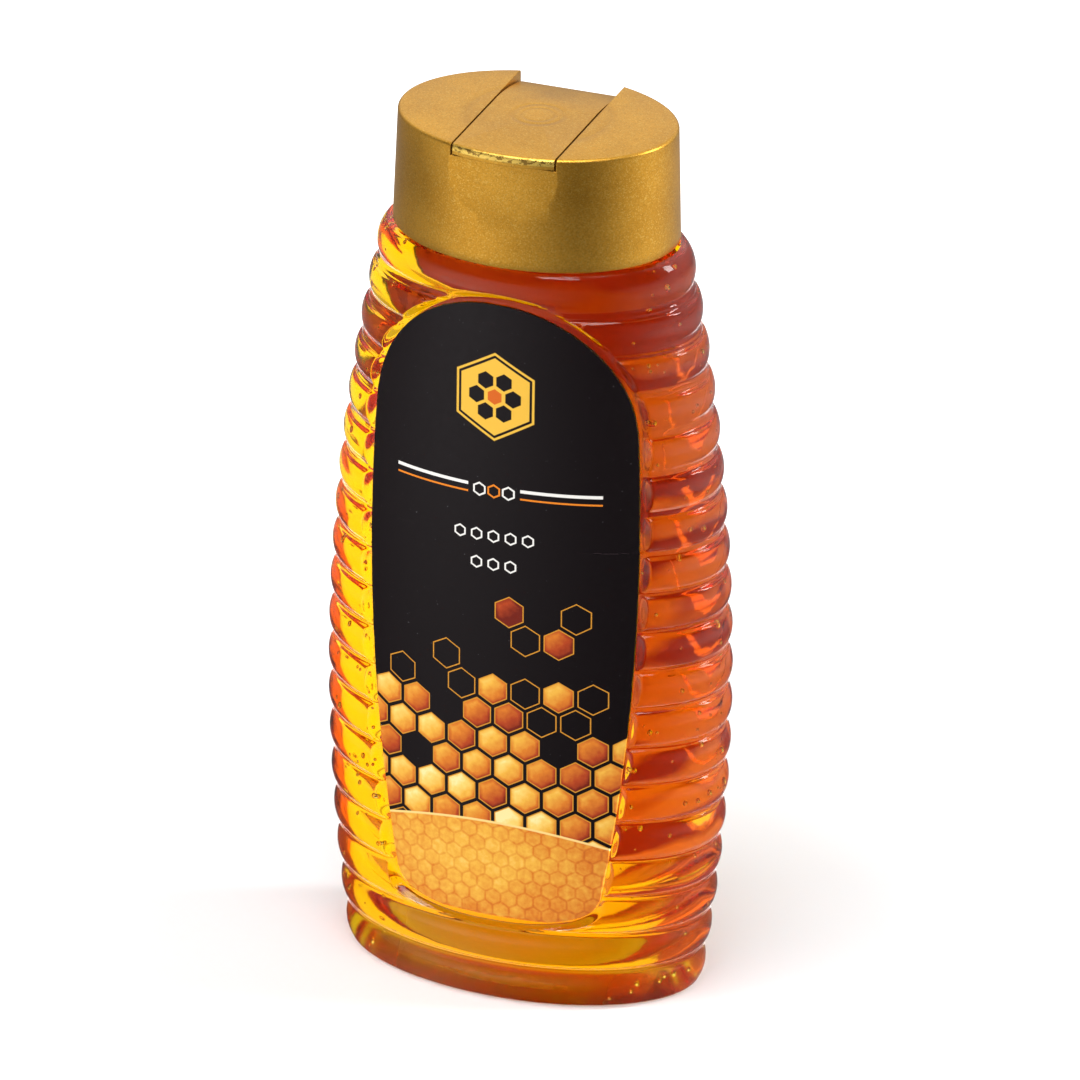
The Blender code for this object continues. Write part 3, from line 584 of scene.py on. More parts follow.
HALF_ROW = math.sqrt(3) / 2
PRINT_REACH = 24.0 * MM
CELL, CELL_FLAT, CELL_LINE = 6.4 * MM, 0.43, 0.012
COMB_FOOT, COMB_TOP, COMB_DARK = mm(38.0, 97.0, 90.0)
FOOT_EDGE, FOOT_BEND = mm(38.2, 4.2)
FOOT_MIDDLE, FOOT_GLOW = mm(30.0, 11.0)
BADGE_Z, BADGE_SIZE, PETAL_REACH = 127.0 * MM, 15.5 * MM, 0.235
RULE_Z, RULE_REACH, RULE_CLEAR = mm(108.5, 20.5, 5.2)
GEM = 2.9 * MM
BEAD, BEAD_PITCH = mm(2.4, 3.4)
BEAD_ROWS = (mm(98.4, 8.5), mm(92.6, 5.1))
INK_BLACK = (0.007, 0.004, 0.005, 1)
INK_SPECK = (0.30, 0.30, 0.32, 1)
INK_GOLD = (0.80, 0.46, 0.05, 1)
INK_WHITE = (0.82, 0.80, 0.76, 1)
INK_ORANGE = (0.80, 0.22, 0.01, 1)
INK_RED = (0.62, 0.12, 0.01, 1)
INK_LINE = (0.62, 0.26, 0.02, 1)
INK_RIM = (0.90, 0.62, 0.22, 1)
HONEY_INKS = (
    (0.0, (0.16, 0.012, 0.004, 1)), (0.25, (0.42, 0.05, 0.008, 1)), (0.5, (0.66, 0.19, 0.015, 1)),
    (0.72, (0.80, 0.42, 0.05, 1)), (0.9, (0.88, 0.60, 0.15, 1)), (1.0, (0.90, 0.72, 0.32, 1)),
)


def mixed(factor, low, high):
    """A colour between two colours, each a field or four numbers."""
    tree = next(v.socket.id_data for v in (factor, low, high) if isinstance(v, Field))
    node = tree.nodes.new("ShaderNodeMix")
    node.data_type = "RGBA"
    for entry, value in ((0, factor), (6, low), (7, high)):
        put(value, node.inputs[entry])
    return Field(node.outputs[2])


def six_sided(x, z):
    """Distance from the middle of a hexagon that stands on a corner: 0.5 is its flat."""
    x, z = abs(x), abs(z)
    return worked("MAXIMUM", x, x * 0.5 + z * HALF_ROW)


def random_pair(tree, colour):
    """Two fields from the red and green of a random colour."""
    parts = added(tree, "ShaderNodeSeparateColor", Color=colour)
    return Field(parts.outputs[0]), Field(parts.outputs[1])


def comb_cells(x, z, size):
    """Across and up within a honeycomb cell, and two random values of the cell."""
    x, z = x / size, z / size
    spots = []
    for shift in (0.0, 0.5):
        across = (x - shift) % 1.0 - 0.5
        up = (z - shift * 2 * HALF_ROW) % (2 * HALF_ROW) - HALF_ROW
        spots.append((across, up, across * across + up * up))
    one, two = spots
    nearer = one[2] < two[2]
    within_x = nearer * (one[0] - two[0]) + two[0]
    within_z = nearer * (one[1] - two[1]) + two[1]
    column = worked("ROUND", (x - within_x) * 2.0)
    row = worked("ROUND", (z - within_z) / HALF_ROW)
    tree = x.socket.id_data
    number = added(tree, "ShaderNodeCombineXYZ", X=column, Y=row)
    dice = added(tree, "ShaderNodeTexWhiteNoise", Vector=number.outputs[0])
    return within_x, within_z, *random_pair(tree, dice.outputs["Color"])


def lined(ink, shape, level, half_line, soft, colour, within=1.0):
    """The ink under a line that is drawn where a shape's value has one level."""
    line = abs(shape - level).spread(half_line, soft, 1.0, 0.0)
    return mixed(line * within, ink, colour)


def comb_print(name, slant, badge):
    """Black satin print with a honeycomb that thins out upwards from an amber foot."""
    made, tree, shader = shading(name, IOR=1.45, Specular_IOR_Level=0.25)
    place = object_place(tree)
    x, _, z = axes(place)
    x = x + (z - LABEL_MIDDLE) * slant
    across = x / PRINT_REACH
    square = across * across
    paper = noise(tree, 900.0, 4.0, place)
    grain = paper - 0.5
    specks = noise(tree, 1600.0, 2.0, place)
    ink = mixed(specks.spread(0.74, 0.78, 0.0, 0.2), INK_BLACK, INK_SPECK)

    within_x, within_z, tone, chance = comb_cells(x, z, CELL)
    middle = six_sided(within_x, within_z)
    cell_z = within_z * -CELL + z
    cell_x = (within_x * -CELL + x) / PRINT_REACH
    crowd = cell_x * cell_x * -0.45 + cell_z.spread(COMB_FOOT, COMB_TOP, 1.25, -0.16)
    filled = chance < crowd
    outlined = chance < crowd + 0.16
    glow = within_x * -0.35 + within_z * 0.5 + z.spread(COMB_FOOT, COMB_DARK, 0.18, -0.22)
    share = tone * 0.55 + 0.22 + glow + middle.spread(0.30, CELL_FLAT, 0.0, -0.22)
    inside = middle.spread(CELL_FLAT - 0.005, CELL_FLAT + 0.008, 1.0, 0.0) * filled
    ink = mixed(inside, ink, ramped(grain * 0.25 + share, HONEY_INKS))
    ink = lined(ink, middle, CELL_FLAT, CELL_LINE, CELL_LINE + 0.01, INK_LINE, outlined)

    edge = square * FOOT_BEND + z
    from_middle = (z - FOOT_MIDDLE) / FOOT_GLOW
    amber = worked("SQRT", from_middle * from_middle + square).spread(0.05, 1.15, 0.70, 0.52)
    amber = across * -0.07 + (grain * 0.35 + amber)
    small_x, small_z, small_tone, _ = comb_cells(x, z, CELL / 2)
    amber = amber + six_sided(small_x, small_z).spread(0.40, 0.47, 0.0, -0.10)
    amber = small_tone * 0.08 + amber
    foot_share = edge.spread(FOOT_EDGE - 0.1 * MM, FOOT_EDGE + 0.1 * MM, 1.0, 0.0)
    ink = mixed(foot_share, ink, ramped(amber, HONEY_INKS))
    ink = lined(ink, edge, FOOT_EDGE, 0.15 * MM, 0.3 * MM, INK_RIM)

    if badge:
        badge_x, badge_z = x / BADGE_SIZE, (z - BADGE_Z) / BADGE_SIZE
        plate = six_sided(badge_x, badge_z)
        ink = mixed(plate.spread(0.495, 0.505, 1.0, 0.0), ink, INK_GOLD)
        ink = lined(ink, plate, 0.455, 0.012, 0.020, INK_BLACK)
        for angle in np.radians(range(0, 360, 60)):
            off_x, off_z = PETAL_REACH * math.cos(angle), PETAL_REACH * math.sin(angle)
            petal = six_sided(badge_x - off_x, badge_z - off_z)
            ink = mixed(petal.spread(0.095, 0.103, 1.0, 0.0), ink, INK_BLACK)
        ink = mixed(plate.spread(0.085, 0.093, 1.0, 0.0), ink, INK_RED)
        reach = (abs(x) < RULE_REACH) * (abs(x) > RULE_CLEAR)
        for up, half, colour in ((0.0, 0.28 * MM, INK_WHITE), (-1.6 * MM, 0.14 * MM, INK_ORANGE)):
            ink = lined(ink, z, RULE_Z + up, half, half + 0.08 * MM, colour, reach)
        for i in (-1, 0, 1):
            gem = six_sided((x - i * GEM) / GEM, (z - (RULE_Z - 0.8 * MM)) / GEM)
            ink = lined(ink, gem, 0.38, 0.045, 0.07, INK_WHITE if i else INK_ORANGE)
        for row_z, row_reach in BEAD_ROWS:
            bead_x = (x + row_reach) % BEAD_PITCH - BEAD_PITCH / 2
            bead = six_sided(bead_x / BEAD, (z - row_z) / BEAD)
            ink = lined(ink, bead, 0.42, 0.05, 0.08, INK_WHITE, abs(x) < row_reach)
    put(ink, shader.inputs["Base Color"])
    put(paper.spread(0.3, 0.7, 0.30, 0.42), shader.inputs["Roughness"])
    bumped(shader, paper, 0.004 * MM)
    return made


def glue_and_shade_film(name, dark, light):
    """The glued side of a label, wetted in bands and patches, with painted shade under the arch."""
    made, tree, shader = shading(name, Roughness=0.6)
    place = object_place(tree)
    stretched = added(tree, "ShaderNodeMapping", Vector=place, Scale=(0.7, 1.0, 1.5))
    patches = noise(tree, 90.0, 1.0, stretched.outputs[0])
    tone = mixed(patches.spread(0.42, 0.58, 0.0, 1.0), dark, light)
    # Painted shade: the glued side darkens towards the top, standing for the closure's shadow.
    arch = axes(place)[2].spread(ARCH_SHADE_FROM, ARCH_SHADE_TO, 0.0, ARCH_SHADE)
    put(mixed(arch, tone, dark), shader.inputs["Base Color"])
    bumped(shader, patches, 0.1 * MM)
    return made


def on_panel(x, z, lift, side):
    """Points a lift above the front or back panel's surface."""
    width = swell(z, HALF_WIDTHS)[0] - PANEL_DEPTH + lift
    depth = swell(z, HALF_DEPTHS)[0] - PANEL_DEPTH + lift
    return np.stack([x, side * depth * np.sqrt(1 - (x / width) ** 2), z], axis=-1)


def sleeved(form, rings):
    """Closes a bmesh round from each ring of points to the next; gives the rings' corners."""
    rows = [[form.verts.new(point) for point in ring] for ring in rings]
    for lower, upper in zip(rows, rows[1:]):
        for i in range(len(lower)):
            j = (i + 1) % len(lower)
            form.faces.new((lower[i], lower[j], upper[j], upper[i]))
    return rows


def label_sheet(name, side, slant):
    """A film cut to the panel's outline: its printed face, and its adhesive face behind."""
    half_height = (PANEL_TOP - PANEL_FOOT) / 2 - LABEL_BORDER
    heights = LABEL_MIDDLE - half_height * np.cos(np.linspace(0, math.pi, 130)) * 0.99999
    reach = np.array([max(panel_half_width(z, LABEL_BORDER), 0.2 * MM) for z in heights])
    shares = np.linspace(-1, 1, 41)
    z = np.repeat(heights[:, None], len(shares), axis=1)
    x = reach[:, None] * shares - slant * (z - LABEL_MIDDLE)
    face = on_panel(x, z, LABEL_LIFT + LABEL_FILM, side)
    back = on_panel(x, z, -GLUE_REACH, side)
    rings = np.concatenate([face, back[:, ::-1]], axis=1)
    if side > 0:
        rings = rings[:, ::-1]
    count = rings.shape[1]
    form = bmesh.new()
    rows = sleeved(form, rings)
    for row, flip in ((rows[0], True), (rows[-1], False)):
        for i in range(count // 2 - 1):
            corner = (row[i], row[i + 1], row[count - 2 - i], row[count - 1 - i])
            form.faces.new(tuple(reversed(corner)) if flip else corner)
    bmesh.ops.recalc_face_normals(form, faces=form.faces)
    for face in form.faces:
        face.material_index = 0 if face.normal.y * side > -0.5 else 1
        face.smooth = True
    film = linked(name, form)
    film.data.set_sharp_from_angle(angle=math.radians(50))
    return film


for name, node, side, slant, glue in (
    ("front_label_film", "front_label", -1, LABEL_SLANT, FRONT_GLUE),
    ("back_label_film", "back_label", 1, 0.0, BACK_GLUE),
):
    film = label_sheet(name, side, slant)
    film.data.materials.append(comb_print(name + "_print", slant, side < 0))
    film.data.materials.append(glue_and_shade_film(name + "_glue_and_shade", *glue))
    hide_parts(node)
    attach(film, "bottle")


# Mouth seal
# A disc of foil laminate, welded over the neck's rim by induction heating. It lies flat over the
# rim and sags a little in the free middle, and the foil is faintly crumpled all over.

SEAL_LOW, SEAL_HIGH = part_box("mouth_seal")[0][2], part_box("mouth_seal")[1][2]
SEAL_RADIUS, SEAL_EDGE, SEAL_SAG = mm(14.65, 0.05, 0.06)
round_angles = np.linspace(0, 2 * math.pi, 96, endpoint=False)


def turned_disc(name, profile):
    """A solid turned about the upright axis, from its lower middle round to its upper middle."""
    mesh = lofted(name, round_rows(profile, round_angles))
    mesh.set_sharp_from_angle(angle=math.radians(35))
    return linked(name, mesh)


def grained(name, scale, detail, dark, light, rough, **settings):
    """A plain material whose tone and gloss vary with a fine grain, with that and its shader."""
    made, tree, shader = shading(name, **settings)
    grain = noise(tree, scale, detail)
    put(mixed(grain, dark, light), shader.inputs["Base Color"])
    put(grain.spread(0.3, 0.7, *rough), shader.inputs["Roughness"])
    return made, grain, shader


seal = turned_disc("foil_seal", [
    (4 * MM, SEAL_LOW),
    (SEAL_RADIUS - SEAL_EDGE, SEAL_LOW),
    (SEAL_RADIUS, SEAL_LOW + SEAL_EDGE),
    (SEAL_RADIUS, SEAL_HIGH - SEAL_EDGE),
    (SEAL_RADIUS - SEAL_EDGE, SEAL_HIGH),
    (NECK_BORE, SEAL_HIGH),
    (NECK_BORE - 0.4 * MM, SEAL_HIGH - SEAL_SAG),
    (4 * MM, SEAL_HIGH - SEAL_SAG),
])
foil, grain, shader = grained(
    "seal_foil", 3000.0, 2.0, (0.58, 0.58, 0.60, 1), (0.78, 0.78, 0.79, 1), (0.22, 0.38),
    Metallic=1.0, Roughness=0.3,
)
bumped(shader, noise(shader.id_data, 260.0, 3.0), 0.12 * MM)
seal.data.materials.append(foil)
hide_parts("mouth_seal")
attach(seal, "bottle")


# Valve ring
# A plain ring moulded in white polypropylene. It is pressed up into the turret from below, and
# holds the valve's flange there.

RING_LOW, RING_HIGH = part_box("valve_ring")[0][2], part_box("valve_ring")[1][2]
VALVE_RADIUS, RING_BORE = mm(7.3, 5.4)


def eased(outline, radius):
    """An outline of (across, up) points with each of its corners rounded by an arc."""
    made = []
    points = [Vector(point) for point in outline]
    for i, corner in enumerate(points):
        before = points[i - 1] - corner
        after = points[(i + 1) % len(points)] - corner
        reach = min(radius, before.length * 0.45, after.length * 0.45)
        start = corner + before.normalized() * reach
        end = corner + after.normalized() * reach
        for share in (0.0, 0.33, 0.67, 1.0):
            point = start.lerp(corner, share).lerp(corner.lerp(end, share), share)
            made.append((point.x, point.y))
    return made


def turned_ring(name, corners, radius):
    """A ring turned about the upright axis: outside, bottom, bore and top, with eased edges."""
    outer, bore, low, high = corners
    profile = eased([(outer, high), (outer, low), (bore, low), (bore, high)], radius)
    form = bmesh.new()
    sleeved(form, round_rows(profile + profile[:1], round_angles))
    bmesh.ops.remove_doubles(form, verts=form.verts, dist=0.0001 * MM)
    bmesh.ops.recalc_face_normals(form, faces=form.faces)
    ring = linked(name, form)
    ring.data.shade_smooth()
    ring.data.set_sharp_from_angle(angle=math.radians(35))
    return ring


ring_corners = (VALVE_RADIUS, RING_BORE, RING_LOW, RING_HIGH)
white_ring = turned_ring("valve_retainer", ring_corners, 0.15 * MM)
polypropylene, grain, shader = grained(
    "white_polypropylene", 500.0, 3.0, (0.78, 0.77, 0.73, 1), (0.86, 0.85, 0.82, 1), (0.36, 0.48),
    Roughness=0.42, Subsurface_Weight=0.15, Subsurface_Scale=1.0,
    Subsurface_Radius=mm(1.0, 0.9, 0.8),
)
bumped(shader, grain, 0.01 * MM)
white_ring.data.materials.append(polypropylene)
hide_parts("valve_ring")
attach(white_ring, "thread_lift")


# Valve
# A flanged dish of clear silicone with a crossed slit: four petals open when the bottle is
# squeezed, and close again without a drip. Its flange lies between the turret and the ring.

VALVE_BOTTOM, VALVE_TOP, VALVE_EDGE = mm(172.0, 172.8, 0.12)
DISH_BOTTOM, DISH_SKIN, DISH_RISE = mm(171.35, 0.5, 0.22)
SLIT_REACH, SLIT_HALF = mm(3.0, 0.08)
valve = turned_disc("slit_valve", [
    (0.8 * MM, DISH_BOTTOM),
    (2.2 * MM, DISH_BOTTOM + DISH_RISE),
    (3.8 * MM, DISH_BOTTOM + 0.50 * MM),
    (5.0 * MM, VALVE_BOTTOM),
    (VALVE_RADIUS - VALVE_EDGE, VALVE_BOTTOM),
    (VALVE_RADIUS, VALVE_BOTTOM + VALVE_EDGE),
    (VALVE_RADIUS, VALVE_TOP - VALVE_EDGE),
    (VALVE_RADIUS - VALVE_EDGE, VALVE_TOP),
    (4.55 * MM, VALVE_TOP),
    (4.3 * MM, VALVE_TOP - 0.08 * MM),
    (2.2 * MM, DISH_BOTTOM + DISH_SKIN + DISH_RISE),
    (0.8 * MM, DISH_BOTTOM + DISH_SKIN),
])


def block(name, low, high):
    """A plain cutting block between two corners."""
    form = bmesh.new()
    bmesh.ops.create_cube(form, size=1.0)
    for vert in form.verts:
        vert.co = [l + (h - l) * (c + 0.5) for c, l, h in zip(vert.co, low, high)]
    return linked(name, form)


def combined(target, tool, operation):
    """Joins, cuts or crops a piece by another, which is then removed."""
    step = target.modifiers.new(operation, "BOOLEAN")
    step.operation = operation
    step.solver = "EXACT"
    step.object = tool
    graph = bpy.context.evaluated_depsgraph_get()
    mesh = bpy.data.meshes.new_from_object(target.evaluated_get(graph))
    target.modifiers.remove(step)
    target.data = mesh
    bpy.data.objects.remove(tool, do_unlink=True)


for x, y in ((SLIT_REACH, SLIT_HALF), (SLIT_HALF, SLIT_REACH)):
    slit = block("slit", (-x, -y, DISH_BOTTOM - MM), (x, y, VALVE_TOP + MM))
    combined(valve, slit, "DIFFERENCE")
silicone, grain, shader = grained(
    "silicone", 1500.0, 3.0, (0.72, 0.70, 0.64, 1), (0.82, 0.80, 0.75, 1), (0.38, 0.55),
    Roughness=0.45, IOR=1.41, Subsurface_Weight=0.6, Subsurface_Scale=1.0,
    Subsurface_Radius=mm(1.4, 1.2, 1.0),
)
bumped(shader, grain, 0.01 * MM)
valve.data.materials.clear()
valve.data.materials.append(silicone)
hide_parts("valve")
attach(valve, "closure")


# Closure base
# An oval cap moulded in gold polypropylene. Its inner collar screws on the neck. A slot across
# its top holds the flip lid over the turret with the orifice, and its front wall is hollowed
# under the lid's lip for a thumb.

CAP_BOTTOM, CAP_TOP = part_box("closure_base")[0][2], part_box("closure_base")[1][2]
CAP_HALF_WIDTHS = mm(27.65, 26.9)
CAP_HALF_DEPTHS = mm(21.1, 20.25)
CAP_EDGE = 0.7 * MM
TOP_WALL, SIDE_WALL, FRONT_WALL = mm(1.5, 1.6, 2.5)
WELD_HEIGHT = CAP_TOP - TOP_WALL / 2
WALL_CORE = 0.8 * MM
SLOT_HALF_WIDTH, SLOT_SIDE = mm(10.4, 1.5)
DECK_UNDERSIDE, DECK_TOP = mm(171.0, 172.4)
TURRET_RADIUS, TURRET_TOP = mm(8.6, 173.9)
ORIFICE_RADIUS = 6.2 * MM
POCKET_RADIUS, POCKET_TOP = mm(7.6, 173.1)
COLLAR_RADIUS, COLLAR_BORE, COLLAR_BOTTOM = mm(17.55, 16.55, 155.6)
RIDGE_SECTION = ((0.4, 0.75), (0.0, 0.75), (-0.9, 0.3), (-0.9, -0.3), (0.0, -0.75), (0.4, -0.75))
RIDGE_STEPS, RIDGE_RUN_OUTS = 120, 8
LIP_BOTTOM, LIP_FRONT = mm(174.4, 174.1)
HINGE_Y, HINGE_Z = mm(18.95, 173.6)
SCOOP_ROLLER, SCOOP_DEPTH = mm(31.8, 1.5)
cap_angles = np.linspace(0, 2 * math.pi, 224, endpoint=False)


def cap_size(z, inset_width=0.0, inset_depth=None):
    """Half width, half depth and height of the cap's tapered wall, drawn in by an inset."""
    share = (z - CAP_BOTTOM) / (CAP_TOP - CAP_BOTTOM)
    width, depth = (a + (b - a) * share for a, b in (CAP_HALF_WIDTHS, CAP_HALF_DEPTHS))
    return width - inset_width, depth - (inset_width if inset_depth is None else inset_depth), z


def cap_outside():
    """Outside of the cap, from its eased lower rim up to its rounded top edge."""
    sizes = [cap_size(CAP_BOTTOM, 0.3 * MM), cap_size(CAP_BOTTOM + 0.1 * MM, 0.08 * MM)]
    sizes += [cap_size(CAP_BOTTOM + 0.3 * MM)]
    sizes += [cap_size(z) for z in np.linspace(CAP_BOTTOM + 2 * MM, CAP_TOP - CAP_EDGE, 6)]
    for angle in np.radians([18, 36, 54, 72, 90]):
        inset = CAP_EDGE * (1 - math.cos(angle))
        sizes.append(cap_size(CAP_TOP - CAP_EDGE * (1 - math.sin(angle)), inset))
    return sizes


cap_inside = [
    cap_size(CAP_TOP - TOP_WALL, SIDE_WALL, FRONT_WALL),
    cap_size(CAP_BOTTOM + 0.2 * MM, SIDE_WALL, FRONT_WALL),
    cap_size(CAP_BOTTOM, SIDE_WALL - 0.2 * MM, FRONT_WALL - 0.2 * MM),
]
cap_mesh = lofted("gold_closure", oval_rows(cap_inside + cap_outside(), cap_angles))
closure = linked("gold_closure", cap_mesh)
channel = block(
    "channel",
    (-SLOT_HALF_WIDTH - SLOT_SIDE, -CAP_HALF_DEPTHS[1], DECK_UNDERSIDE),
    (SLOT_HALF_WIDTH + SLOT_SIDE, CAP_HALF_DEPTHS[1], WELD_HEIGHT),
)
core = oval_rows([cap_size(z, WALL_CORE) for z in (CAP_BOTTOM, CAP_TOP)], cap_angles)
combined(channel, linked("core", lofted("core", core)), "INTERSECT")
combined(closure, channel, "UNION")
collar_corners = (COLLAR_RADIUS, COLLAR_BORE, COLLAR_BOTTOM, WELD_HEIGHT)
combined(closure, turned_ring("collar", collar_corners, 0.2 * MM), "UNION")


def thread_ridge(name, radius, start, turns):
    """A ridge of trapezoidal section that winds up the inside of a bore."""
    form = bmesh.new()
    sections = []
    for i in range(RIDGE_STEPS + 1):
        angle = 2 * math.pi * turns * i / RIDGE_STEPS
        ease = min(1.0, RIDGE_RUN_OUTS * min(i, RIDGE_STEPS - i) / RIDGE_STEPS)
        z = start + THREAD_LEAD * angle / (2 * math.pi)
        section = []
        for out, up in RIDGE_SECTION:
            reach = radius + (out * ease if out < 0 else out) * MM
            section.append((reach * math.cos(angle), reach * math.sin(angle), z + up * MM))
        sections.append(section)
    rows = sleeved(form, sections)
    form.faces.new(rows[0])
    form.faces.new(tuple(reversed(rows[-1])))
    bmesh.ops.recalc_face_normals(form, faces=form.faces)
    return linked(name, form)


ridge_start = THREAD_START + THREAD_LEAD / 2
combined(closure, thread_ridge("collar_thread", COLLAR_BORE, ridge_start, THREAD_TURNS), "UNION")

far = CAP_HALF_DEPTHS[1] + 2 * MM
above = CAP_TOP + 2 * MM
front_wall = CAP_HALF_DEPTHS[1] - FRONT_WALL
hinge_recess = (HINGE_Y - 1.4 * MM, DECK_TOP - 0.5 * MM)
for low_y, low_z in ((-front_wall, DECK_TOP), (-far, LIP_FRONT), hinge_recess):
    slot = block("slot", (-SLOT_HALF_WIDTH, low_y, low_z), (SLOT_HALF_WIDTH, far, above))
    combined(closure, slot, "DIFFERENCE")


def extruded(name, outline, half_width):
    """A bar along X with a given (y, z) outline."""
    form = bmesh.new()
    sides = [[form.verts.new((x, y, z)) for y, z in outline] for x in (-half_width, half_width)]
    form.faces.new(sides[0])
    form.faces.new(tuple(reversed(sides[1])))
    for i in range(len(outline)):
        j = (i + 1) % len(outline)
        form.faces.new((sides[0][i], sides[1][i], sides[1][j], sides[0][j]))
    bmesh.ops.recalc_face_normals(form, faces=form.faces)
    return linked(name, form)


roller_axis = (SCOOP_DEPTH - CAP_HALF_DEPTHS[1] - SCOOP_ROLLER, LIP_FRONT)
roller = extruded("thumb_roller", arc(roller_axis, SCOOP_ROLLER, 0, 359, 360), CAP_HALF_WIDTHS[0])
combined(closure, roller, "DIFFERENCE")
combined(closure, turned_disc("turret", [
    (2 * MM, DECK_TOP - 0.7 * MM),
    (TURRET_RADIUS + 0.5 * MM, DECK_TOP - 0.7 * MM),
    (TURRET_RADIUS + 0.5 * MM, DECK_TOP),
    (TURRET_RADIUS + 0.15 * MM, DECK_TOP + 0.15 * MM),
    (TURRET_RADIUS, DECK_TOP + 0.5 * MM),
    (TURRET_RADIUS, TURRET_TOP - 0.3 * MM),
    (TURRET_RADIUS - 0.1 * MM, TURRET_TOP - 0.1 * MM),
    (TURRET_RADIUS - 0.3 * MM, TURRET_TOP),
    (2 * MM, TURRET_TOP),
]), "UNION")
combined(closure, turned_disc("pocket", [
    (2 * MM, DECK_UNDERSIDE - 2 * MM),
    (POCKET_RADIUS, DECK_UNDERSIDE - 2 * MM),
    (POCKET_RADIUS, POCKET_TOP),
    (ORIFICE_RADIUS, POCKET_TOP),
    (ORIFICE_RADIUS, TURRET_TOP - 0.2 * MM),
    (ORIFICE_RADIUS + 0.4 * MM, TURRET_TOP + 0.2 * MM),
    (ORIFICE_RADIUS + 0.4 * MM, TURRET_TOP + 2 * MM),
    (2 * MM, TURRET_TOP + 2 * MM),
]), "DIFFERENCE")

GOLD_DEEP, GOLD_BRIGHT = (0.62, 0.30, 0.030, 1), (0.76, 0.385, 0.046, 1)
FLAKE_DARK, FLAKE_LIGHT = (0.22, 0.08, 0.006, 1), (1.0, 0.74, 0.20, 1)
SINK_SHADE = (0.25, 0.10, 0.015, 1)
LIP_WEAR_HIGHLIGHT, LIP_SCUFFED = (0.98, 0.66, 0.14, 1), (0.20, 0.085, 0.015, 1)


def gold_plastic(name, rings, lip):
    """Gold pearl plastic: fine sparkle, sink marks over rings behind it with painted shade, a worn
    lip with a painted highlight.
    """
    made, tree, shader = shading(name, Metallic=0.88, IOR=1.5)
    place = object_place(tree)
    x, y, z = axes(place)
    pearl = added(tree, "ShaderNodeTexVoronoi", Vector=place, Scale=5000.0)
    flake, sparkle = random_pair(tree, pearl.outputs["Color"])
    clouds = noise(tree, 75.0, 5.0, place)
    tone = mixed(clouds.spread(0.35, 0.65, 0.0, 1.0), GOLD_DEEP, GOLD_BRIGHT)
    tone = mixed(flake.spread(0.0, 0.6, 0.26, 0.0), tone, FLAKE_DARK)
    tone = mixed(sparkle.spread(0.7, 1.0, 0.0, 0.30), tone, FLAKE_LIGHT)
    rough = clouds.spread(0.3, 0.7, 0.30, 0.40)
    rounding = added(tree, "ShaderNodeBevel", Radius=0.22 * MM)
    put(rounding.outputs["Normal"], shader.inputs["Normal"])
    bumped(shader, flake, 0.0028 * MM)
    bumped(shader, clouds, 0.035 * MM)
    from_axis = worked("SQRT", x * x + y * y)
    on_top = z.spread(CAP_TOP - 1.2 * MM, CAP_TOP - 1.0 * MM, 0.0, 1.0)
    for radius, half_width, sink in rings:
        mark = abs(from_axis - radius).spread(0.0, half_width, 1.0, 0.0) * on_top
        mark = worked("SMOOTH_MAX", mark, 0.0, 0.3)
        bumped(shader, mark, -sink)
        # Painted shade darkens each sink mark's dent.
        tone = mixed(mark * 0.14, tone, SINK_SHADE)
    if lip:
        # A bright band on the lid's lip: partly real wear, partly a painted highlight on its
        # rounded front edge. The dark scuffs in it are wear.
        along = added(tree, "ShaderNodeMapping", Vector=place, Scale=(1.0, 0.2, 1.6))
        scuffs = noise(tree, 1100.0, 4.0, along.outputs[0])
        worn_and_highlit = abs(z - WELD_HEIGHT).spread(0.45 * MM, 0.7 * MM, 1.0, 0.0)
        worn_and_highlit = worn_and_highlit * y.spread(-12.0 * MM, -10.0 * MM, 1.0, 0.0)
        worn_and_highlit = worn_and_highlit * clouds.spread(0.3, 0.5, 0.35, 1.0)
        tone = mixed(worn_and_highlit, tone, LIP_WEAR_HIGHLIGHT)
        tone = mixed(scuffs.spread(0.50, 0.56, 0.0, 0.8) * worn_and_highlit, tone, LIP_SCUFFED)
        bumped(shader, scuffs * worn_and_highlit, -0.05 * MM)
        rough = worn_and_highlit * -0.08 + rough
    put(tone, shader.inputs["Base Color"])
    put(rough, shader.inputs["Roughness"])
    return made


def dressed(piece, material):
    """Gives a cut piece its one material, smooth faces and sharp edges."""
    piece.data.materials.clear()
    piece.data.materials.append(material)
    piece.data.shade_smooth()
    piece.data.set_sharp_from_angle(angle=math.radians(30))


dressed(closure, gold_plastic("gold_cap", [mm(13.5, 1.6, 0.07)], False))
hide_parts("closure_base")
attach(closure, "closure")


# Flip lid
# The lid is part of the same gold moulding. It falls away a little towards the hinge, hangs a
# lip over the thumb hollow, and has a plug ring and a stopper ring below that close the
# orifice. A short leaf behind it ends in a roll round the hinge's axis.

LID_HALF_WIDTH = 10.0 * MM
LID_UNDERSIDE, LID_REAR = mm(174.9, 18.25)
SLOPE_START, REAR_DROP = mm(4.0, 2.2)
LID_WALL, REAR_THINNING = mm(1.5, 0.3)
LIP_INSIDE = -17.45 * MM
LID_RINGS = (mm(5.9, 0.8, 1.7), mm(3.6, 0.7, 2.0))
LID_MARKS = [mm(4.7, 0.9, 0.08), mm(3.0, 0.6, 0.045)]
HINGE_HALF_WIDTH, HINGE_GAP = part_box("living_hinge")[1][0], 0.02 * MM
ROLL_RADIUS, LEAF_HALF = mm(0.2, 0.15)


def lid_outline():
    """Side view of the lid as (y, z), from its lip up and over to the hinge and back below."""
    top = [(-far, LIP_BOTTOM), (-far, above), (SLOPE_START, above)]
    below = []
    for share in np.linspace(0, 1, 19):
        y = SLOPE_START + (LID_REAR - SLOPE_START) * share
        z = CAP_TOP - REAR_DROP * share ** 2
        top.append((y, z))
        below.append((y, z - LID_WALL + REAR_THINNING * share))
    return top + below[::-1] + [(LIP_INSIDE, LID_UNDERSIDE), (LIP_INSIDE, LIP_BOTTOM)]


